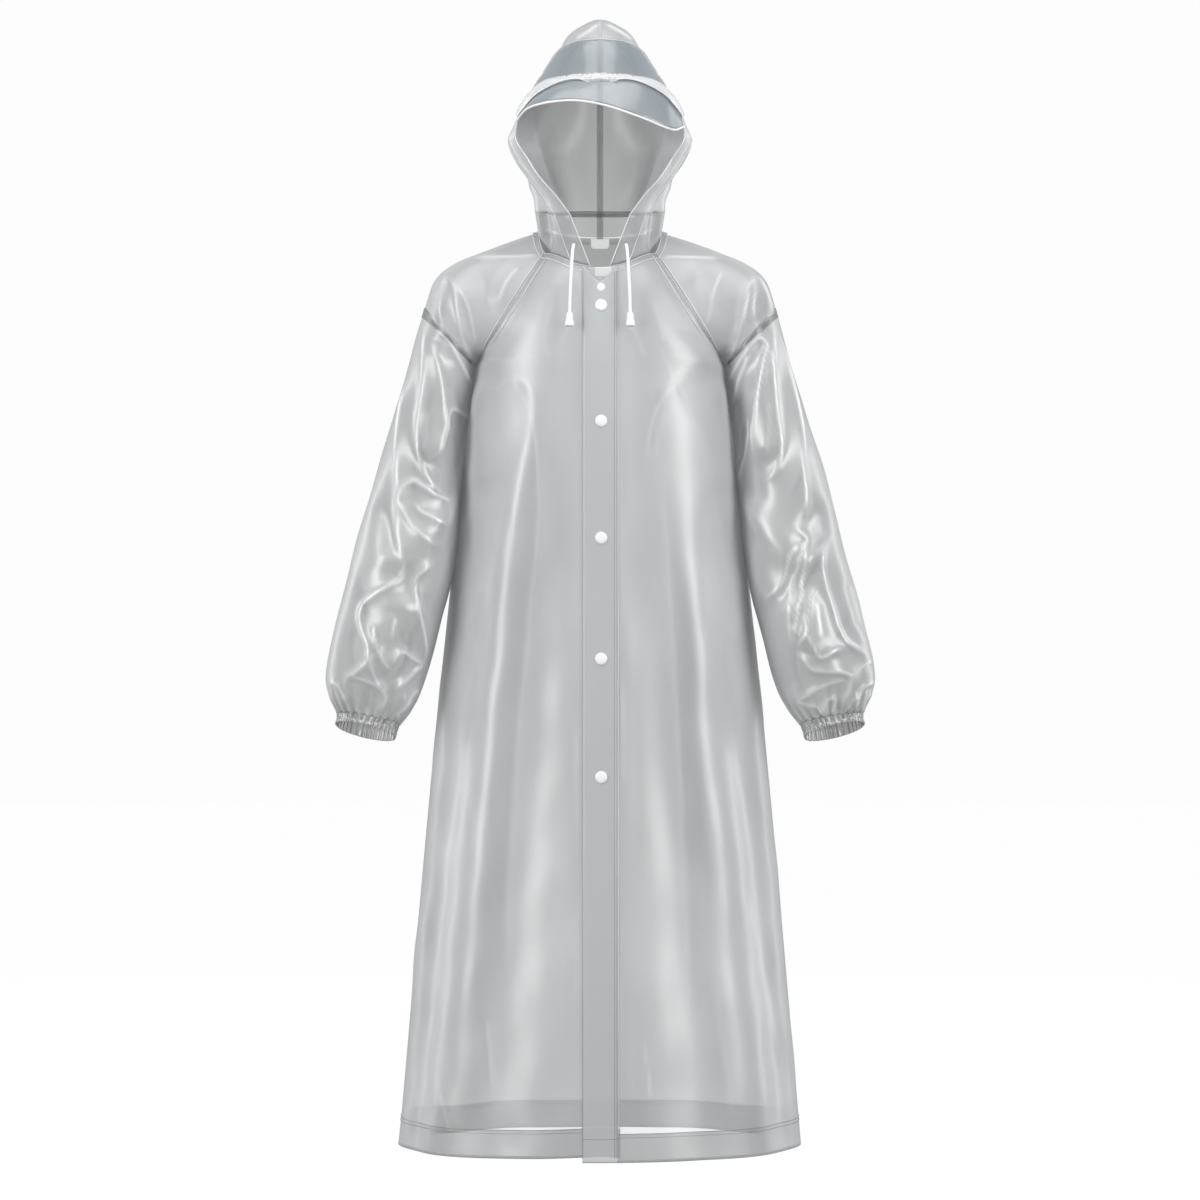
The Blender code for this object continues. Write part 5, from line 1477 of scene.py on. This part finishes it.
def make_body(looks, binding):
    """Fronts, back and their hems. The neck's binding is passed in but not used."""
    film, seam = looks["film"], looks["seam_film"]
    fronts = front_grids()
    back, back_crest = back_grid()
    panels = (
        ("front_left", *fronts[0], 1, ["shoulder_left"]),
        ("front_right", *fronts[1], -1, ["shoulder_right"]),
        ("back", back, back_crest, -1, ["shoulder_left", "shoulder_right"]),
    )
    for name, grid, crest, face, hangs_from in panels:
        grid = filled_out(grid)
        piece = cloth("coat_" + name, grid, face, film, nodes=[name], crest=crest)
        count = bottom_rows(grid, HEM_DEPTH)
        inner = raise_by(grid[-count:], LAYER * HEM_SHARE, -face)
        trimmed = crest[-count:]
        hem = cloth("coat_hem_" + name, inner, face, looks["hem_film"], nodes=["hem_" + name], crest=trimmed)
        weld = raise_by(grid[-count:], STITCH_LIFT, face)
        line = lines("hem_line_" + name, [weld[0], weld[1]], STITCH_RADIUS, seam)
        sheet(grid)
        sheet(inner)


def make_arms(looks):
    """Shoulder pieces, sleeves and cuffs."""
    for name, side in SIDES:
        shoulder_cut, crest = shoulder_grid(side)
        shoulder = cloth("coat_shoulder_" + name, shoulder_cut, side, looks["film"], nodes=["shoulder_" + name],
                         crest=crest)
        sleeve_cut, crest = sleeve_grid(side)
        sleeve = cloth("coat_sleeve_" + name, sleeve_cut, side, looks["arm_film"], nodes=["sleeve_" + name],
                       closed=True, crest=crest)
        grid = cuff_grid(side)
        cuff = cloth("coat_cuff_" + name, grid, side, looks["cuff_film"], nodes=["cuff_" + name], closed=True)
        sheet(grid)
        tapes = {"raglan_front": (front_section, 0, 1), "raglan_back": (back_section, -1, -1)}
        for tape, (section, end, face) in tapes.items():
            strip = seam_tape(section, end, side)
            made = raise_by(strip, TAPE_LIFT, face * side)
            cloth(f"{tape}_{name}", made, face * side, looks["tape_film"])
            edges = raise_by(strip, TAPE_LIFT + STITCH_LIFT, face * side)
            lines(f"{tape}_lines_{name}", [edges[:, 0], edges[:, -1]], STITCH_RADIUS,
                                     looks["bright_film"])
        strip = on_side(armhole_tape(), side)
        armhole = cloth(f"armhole_{name}", raise_by(strip, TAPE_LIFT, side), side, looks["seam_film"])
        sheet(shoulder_cut)
        sheet(sleeve_cut)


def seam_tape(section, end, side):
    """A tape along a raglan seam: rows from the neck down, columns from the body to the shoulder."""
    rows = []
    for s in even(TAPE_ROWS):
        body, shoulder = section(s), shoulder_section(s)
        if end == -1:
            shoulder = shoulder[::-1]
        off = shoulder[0] - body[-1]
        line = chain(body, shoulder - off)
        rows.append(walk(line, lengths(body)[-1] + (even(TAPE_COLUMNS) * 2.0 - 1.0) * SEAM_TAPE))
    return on_side(np.array(rows), side)


def armhole_tape():
    """A tape round the top of a sleeve: rows down the arm, columns round it, open at the armpit."""
    shares = ARMHOLE_OPEN + even(ARMHOLE_COLUMNS) * (1.0 - 2.0 * ARMHOLE_OPEN)
    above = [shoulder_section(1.0 - k * ARMHOLE_TAPE / SHOULDER_REACH) for k in (1.0, 0.5)]
    below = [loop(row_at(SLEEVE, k * ARMHOLE_TAPE / SLEEVE_LENGTH), ARMPIT_ROOM) for k in (0.0, 0.5, 1.0)]
    return np.array([spread(section, shares) for section in above + below])


def make_placket(looks):
    """The placket, its welded lines and a dark line along its free edge as painted shadow, its snaps, and the
    white top of the underlap behind its notch.
    """
    grid = placket_grid()
    placket = cloth("coat_placket", grid, 1, looks["placket_film"], nodes=["placket"])
    outside = raise_by(grid, STITCH_LIFT)
    # The first line is a dark rod at the placket's free edge, a painted shadow; the other two are weld lines
    weld_and_shadow_lines = [walk(column, PLACKET_END + even(PLACKET_STEPS) * (lengths(column)[-1] - 2 * PLACKET_END))
             for column in (column_at(outside, x) for x in PLACKET_WELDS_AND_EDGE_SHADOW)]
    end = len(grid) - bottom_rows(grid, HEM_DEPTH - PLACKET_HEM_DROP)
    lines_made = lines("placket_lines", [*weld_and_shadow_lines, outside[end]], STITCH_RADIUS, looks["seam_film"])
    facing = underlap_grid()
    patch = cloth("underlap_facing", facing, 1, looks["band_film"])
    sheet(grid)
    middle = grid.shape[1] // 2
    front_column = raise_by(grid, FILM / 2)[:, middle]
    rear_column = raise_by(grid, -LAYER - SNAP_ROOM)[:, middle]
    for number, height in enumerate(SNAP_HEIGHTS, 1):
        scale = TOP_SNAP_SCALE if number == 1 else 1.0
        place, out = on_column(front_column, height)
        if number == 1:
            place = place - out * LAYER
        cap = [(radius * scale, rise) for radius, rise in CAP_PROFILE]
        turned(f"snap_{number}", cap, CAP_STEPS, looks["snap"], place, out, [f"snap_cap_{number}"])
        place, out = on_column(rear_column, height)
        turned(f"snap_inside_{number}", BACK_PROFILE, ROUND_STEPS, looks["snap"], place, -out,
               [f"snap_back_{number}"])


def underlap_grid():
    """The white facing along the top of the underlap, which shows above the placket's notch."""
    rows, columns = FACING_GRID
    places = FACING_START + even(columns) * (UNDERLAP - FACING_START)
    grid = [[off_centre(front_section(s), x) for x in places] for s in even(rows) * FACING_REACH]
    return raise_by(np.array(grid), STITCH_LIFT)


def off_centre(section, x):
    """The point of a section at a distance off the centre, to the wearer's left (+) or right (-)."""
    return on_side(walk(section, np.array([abs(x)]))[0], np.sign(x))


def column_at(grid, x):
    """A line down a grid at one distance off the centre."""
    return np.array([[np.interp(x, row[:, 0], row[:, axis]) for axis in range(3)] for row in grid])


def on_column(column, height):
    """The place on a line down the front at a height, and the direction out of the front there."""
    order = column[::-1]
    place = np.array([np.interp(height, order[:, 2], order[:, axis]) for axis in range(3)])
    i = int(np.clip(np.searchsorted(-column[:, 2], -height), 1, len(column) - 1))
    out = np.cross(column[i] - column[i - 1], (1.0, 0.0, 0.0))
    return place, out * (-np.sign(out[1]) / np.linalg.norm(out))


def make_hood(looks):
    """Collar, hood, casing, window, band, brim and piping."""
    low, high = HOOD_SLICES
    collar_heights = np.linspace(COLLAR_FOOT, COLLAR_TOP, COLLAR_SLICES)
    hood_heights = np.concatenate([np.linspace(COLLAR_TOP, HOOD_TOP_TURN, low, endpoint=False),
                                   np.linspace(HOOD_TOP_TURN, HOOD[-1].h, high)])
    casing_heights = np.linspace(COLLAR_FOOT, TEMPLE, CASING_SLICES)
    for name, side in SIDES:
        grid = pull_in(hood_grid(collar_heights, side), COLLAR_LIFT)
        collar = cloth("coat_collar_" + name, grid, -side, looks["collar_film"], nodes=["collar_" + name])
        sheet(grid)
        grid, crest = hood_pressed(hood_grid(hood_heights, side, behind_window=True), side)
        hood = cloth("coat_hood_" + name, grid, -side, looks["hood_film"], nodes=["hood_" + name], crest=crest)
        sheet(grid)
        edge = hood_grid(casing_heights, side, width=CASING_WIDTH)
        grid = raise_by(edge, LAYER * HEM_SHARE, side)
        casing = cloth("coat_casing_" + name, grid, -side, looks["casing_film"], nodes=["casing_" + name])
        shown, hidden = raise_by(edge, -STITCH_LIFT, side), raise_by(grid, STITCH_LIFT, side)
        line = lines("casing_line_" + name, [shown[:, -1], shown[:, 0], hidden[:, -1]], WELD_RADIUS,
                     looks["bright_film"])
        sheet(grid)
    band = forehead_grid(0.0, BAND_WIDTH, BAND_COLUMNS, WINDOW_LIFT + LAYER)
    made = cloth("coat_visor_band", band, 1, looks["band_film"], ["visor_band"])
    sheet(band)
    window = forehead_grid(BAND_WIDTH / 2, None, WINDOW_COLUMNS, WINDOW_LIFT)
    made = cloth("coat_visor_window", window, 1, looks["clear_film"], ["visor_window"])
    sheet(window)
    edge = raise_by(window, STITCH_LIFT)
    lines("window_line", [edge[:, -1]], STITCH_RADIUS, looks["bright_film"])
    edge = raise_by(band, STITCH_LIFT)
    lines("band_line", [edge[:, 0], edge[:, -1]], STITCH_RADIUS, looks["bright_film"])
    brim = brim_grid()
    made = cloth("coat_visor_brim", brim, -1, looks["clear_film"], ["visor_brim"])
    rim = [row_at(BRIM, t)[1:] for t in even(PIPING_STEPS)]
    piping = lines("coat_visor_piping", [rim], PIPING_RADIUS, looks["white_trim"])
    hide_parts("visor_piping")
    sheet(brim)
    hood_seams(looks)


def hood_pressed(grid, side):
    """The hood with its creases and slight waves, and painted light that makes its film whiter outward of the
    fold behind the face.
    """
    fade = faded(grid, top=SEAM_FADE, last=SEAM_FADE / 2)
    made, crest = pressed(grid, normals(grid) * -side, HOOD_CREASES, HOOD_BACK_CREASES, fade, HOOD_RIPPLE)
    fold = np.interp(grid[:, :, 2], *np.array(HOOD_FOLD).T)
    # Painted light: outward of the fold, the hood's side walls are made whiter through the crest mask
    painted_light = ease(0.0, HOOD_FOLD_EASE, np.abs(grid[:, :, 0]) - fold) * HOOD_SIDE_PAINTED_LIGHT
    painted_light *= 1.0 - ease(HOOD_FOLD_FADE, HOOD_FOLD_TOP, grid[:, :, 2])
    return made, np.maximum(crest, painted_light)


def hood_seams(looks):
    """The tape along the hood's centre, and the one where it meets the collar."""
    rows = []
    for h in np.linspace(COLLAR_FOOT, CENTRE_TAPE_END, HOOD_TAPE_ROWS):
        half = walk(slice_at(h)[::-1], even(2) * HOOD_TAPE)
        rows.append(np.concatenate([mirrored(half[:0:-1]), half]))
    grid = np.array(rows)
    grid[:, 2, 0] = 0.0
    cloth("hood_centre_tape", raise_by(grid, TAPE_LIFT), 1, looks["hood_seam_film"])
    top = np.array([hood_section(h)[0] for h in np.linspace(HOOD[-1].h, WINDOW[-1].seam_h, TOP_WELD_ROWS)])
    ridge = top * np.array([0.0, 1.0, 1.0]) + np.array([0.0, -STITCH_LIFT, STITCH_LIFT])
    lines("hood_top_weld", [ridge], STITCH_RADIUS, looks["bright_film"])
    shares = COLLAR_TAPE_START + even(COLLAR_TAPE_COLUMNS) * (1.0 - COLLAR_TAPE_START)
    heights = COLLAR_TOP + (even(TAPE_COLUMNS) * 2.0 - 1.0) * COLLAR_TAPE
    half = np.array([spread(slice_at(h), shares) for h in heights])
    whole = np.concatenate([half, mirrored(half)[:, ::-1]], axis=1)
    cloth("collar_tape", raise_by(whole, TAPE_LIFT), -1, looks["hood_seam_film"])


def ring_row(s):
    """Half of a ring about the neck, from the front to the centre back."""
    front_columns, shoulder_columns, back_columns = NECK_COLUMNS
    front = front_section(s)
    front = walk(front, BINDING_START + even(front_columns) * (lengths(front)[-1] - BINDING_START))
    shoulder = spread(shoulder_section(s), even(shoulder_columns))
    return chain(front, shoulder, spread(back_section(s), even(back_columns))[::-1])


def make_neck(looks):
    """The binding below the neck seam, and the blank hanger tab inside the back."""
    upper, lower = ring_row(0.0), ring_row(BINDING_STEP)
    step = lower - upper
    step /= np.linalg.norm(step, axis=1, keepdims=True)
    half = np.array([upper + step * BINDING_WIDTH * share for share in even(TAPE_COLUMNS)])
    grid = np.concatenate([half[:, :-1], mirrored(half)[:, ::-1]], axis=1)
    grid = raise_by(grid, BINDING_LIFT)
    binding = cloth("coat_neck_binding", grid, 1, looks["tape_film"], nodes=["neck_binding"])
    edges = raise_by(grid, STITCH_LIFT)
    lines("binding_lines", [edges[0], edges[-1]], STITCH_RADIUS, looks["bright_film"])
    rows, columns = TAB_GRID
    down = []
    for x in TAB_HALF * (even(columns) * 2.0 - 1.0):
        past = max(0.0, abs(x) - (TAB_HALF - TAB_ROUND))
        length = TAB_LENGTH - TAB_ROUND + np.sqrt(TAB_ROUND ** 2 - past ** 2)
        column = np.array([off_centre(back_section(s), x) for s in TAB_SHARES])
        down.append(walk(column, length * even(rows)))
    tab = raise_by(np.swapaxes(np.array(down), 0, 1), LAYER)
    made = cloth("coat_hanger_tab", tab, -1, looks["tab_white"], ["hanger_tab"])
    sheet(tab)
    return binding


def main():
    make_camera()
    looks = {name: (film_material(name, False), film_material(name, True)) for name in FILMS}
    looks.update({name: 2 * (trim_material(name),) for name in TRIMS})
    make_cords(looks)
    make_body(looks, make_neck(looks))
    make_arms(looks)
    make_placket(looks)
    make_hood(looks)
    make_floor()
    make_lights()
    scene = bpy.context.scene
    scene.view_settings.view_transform = "Standard"
    scene.cycles.transparent_max_bounces = 48
    scene.cycles.max_bounces = 12


main()
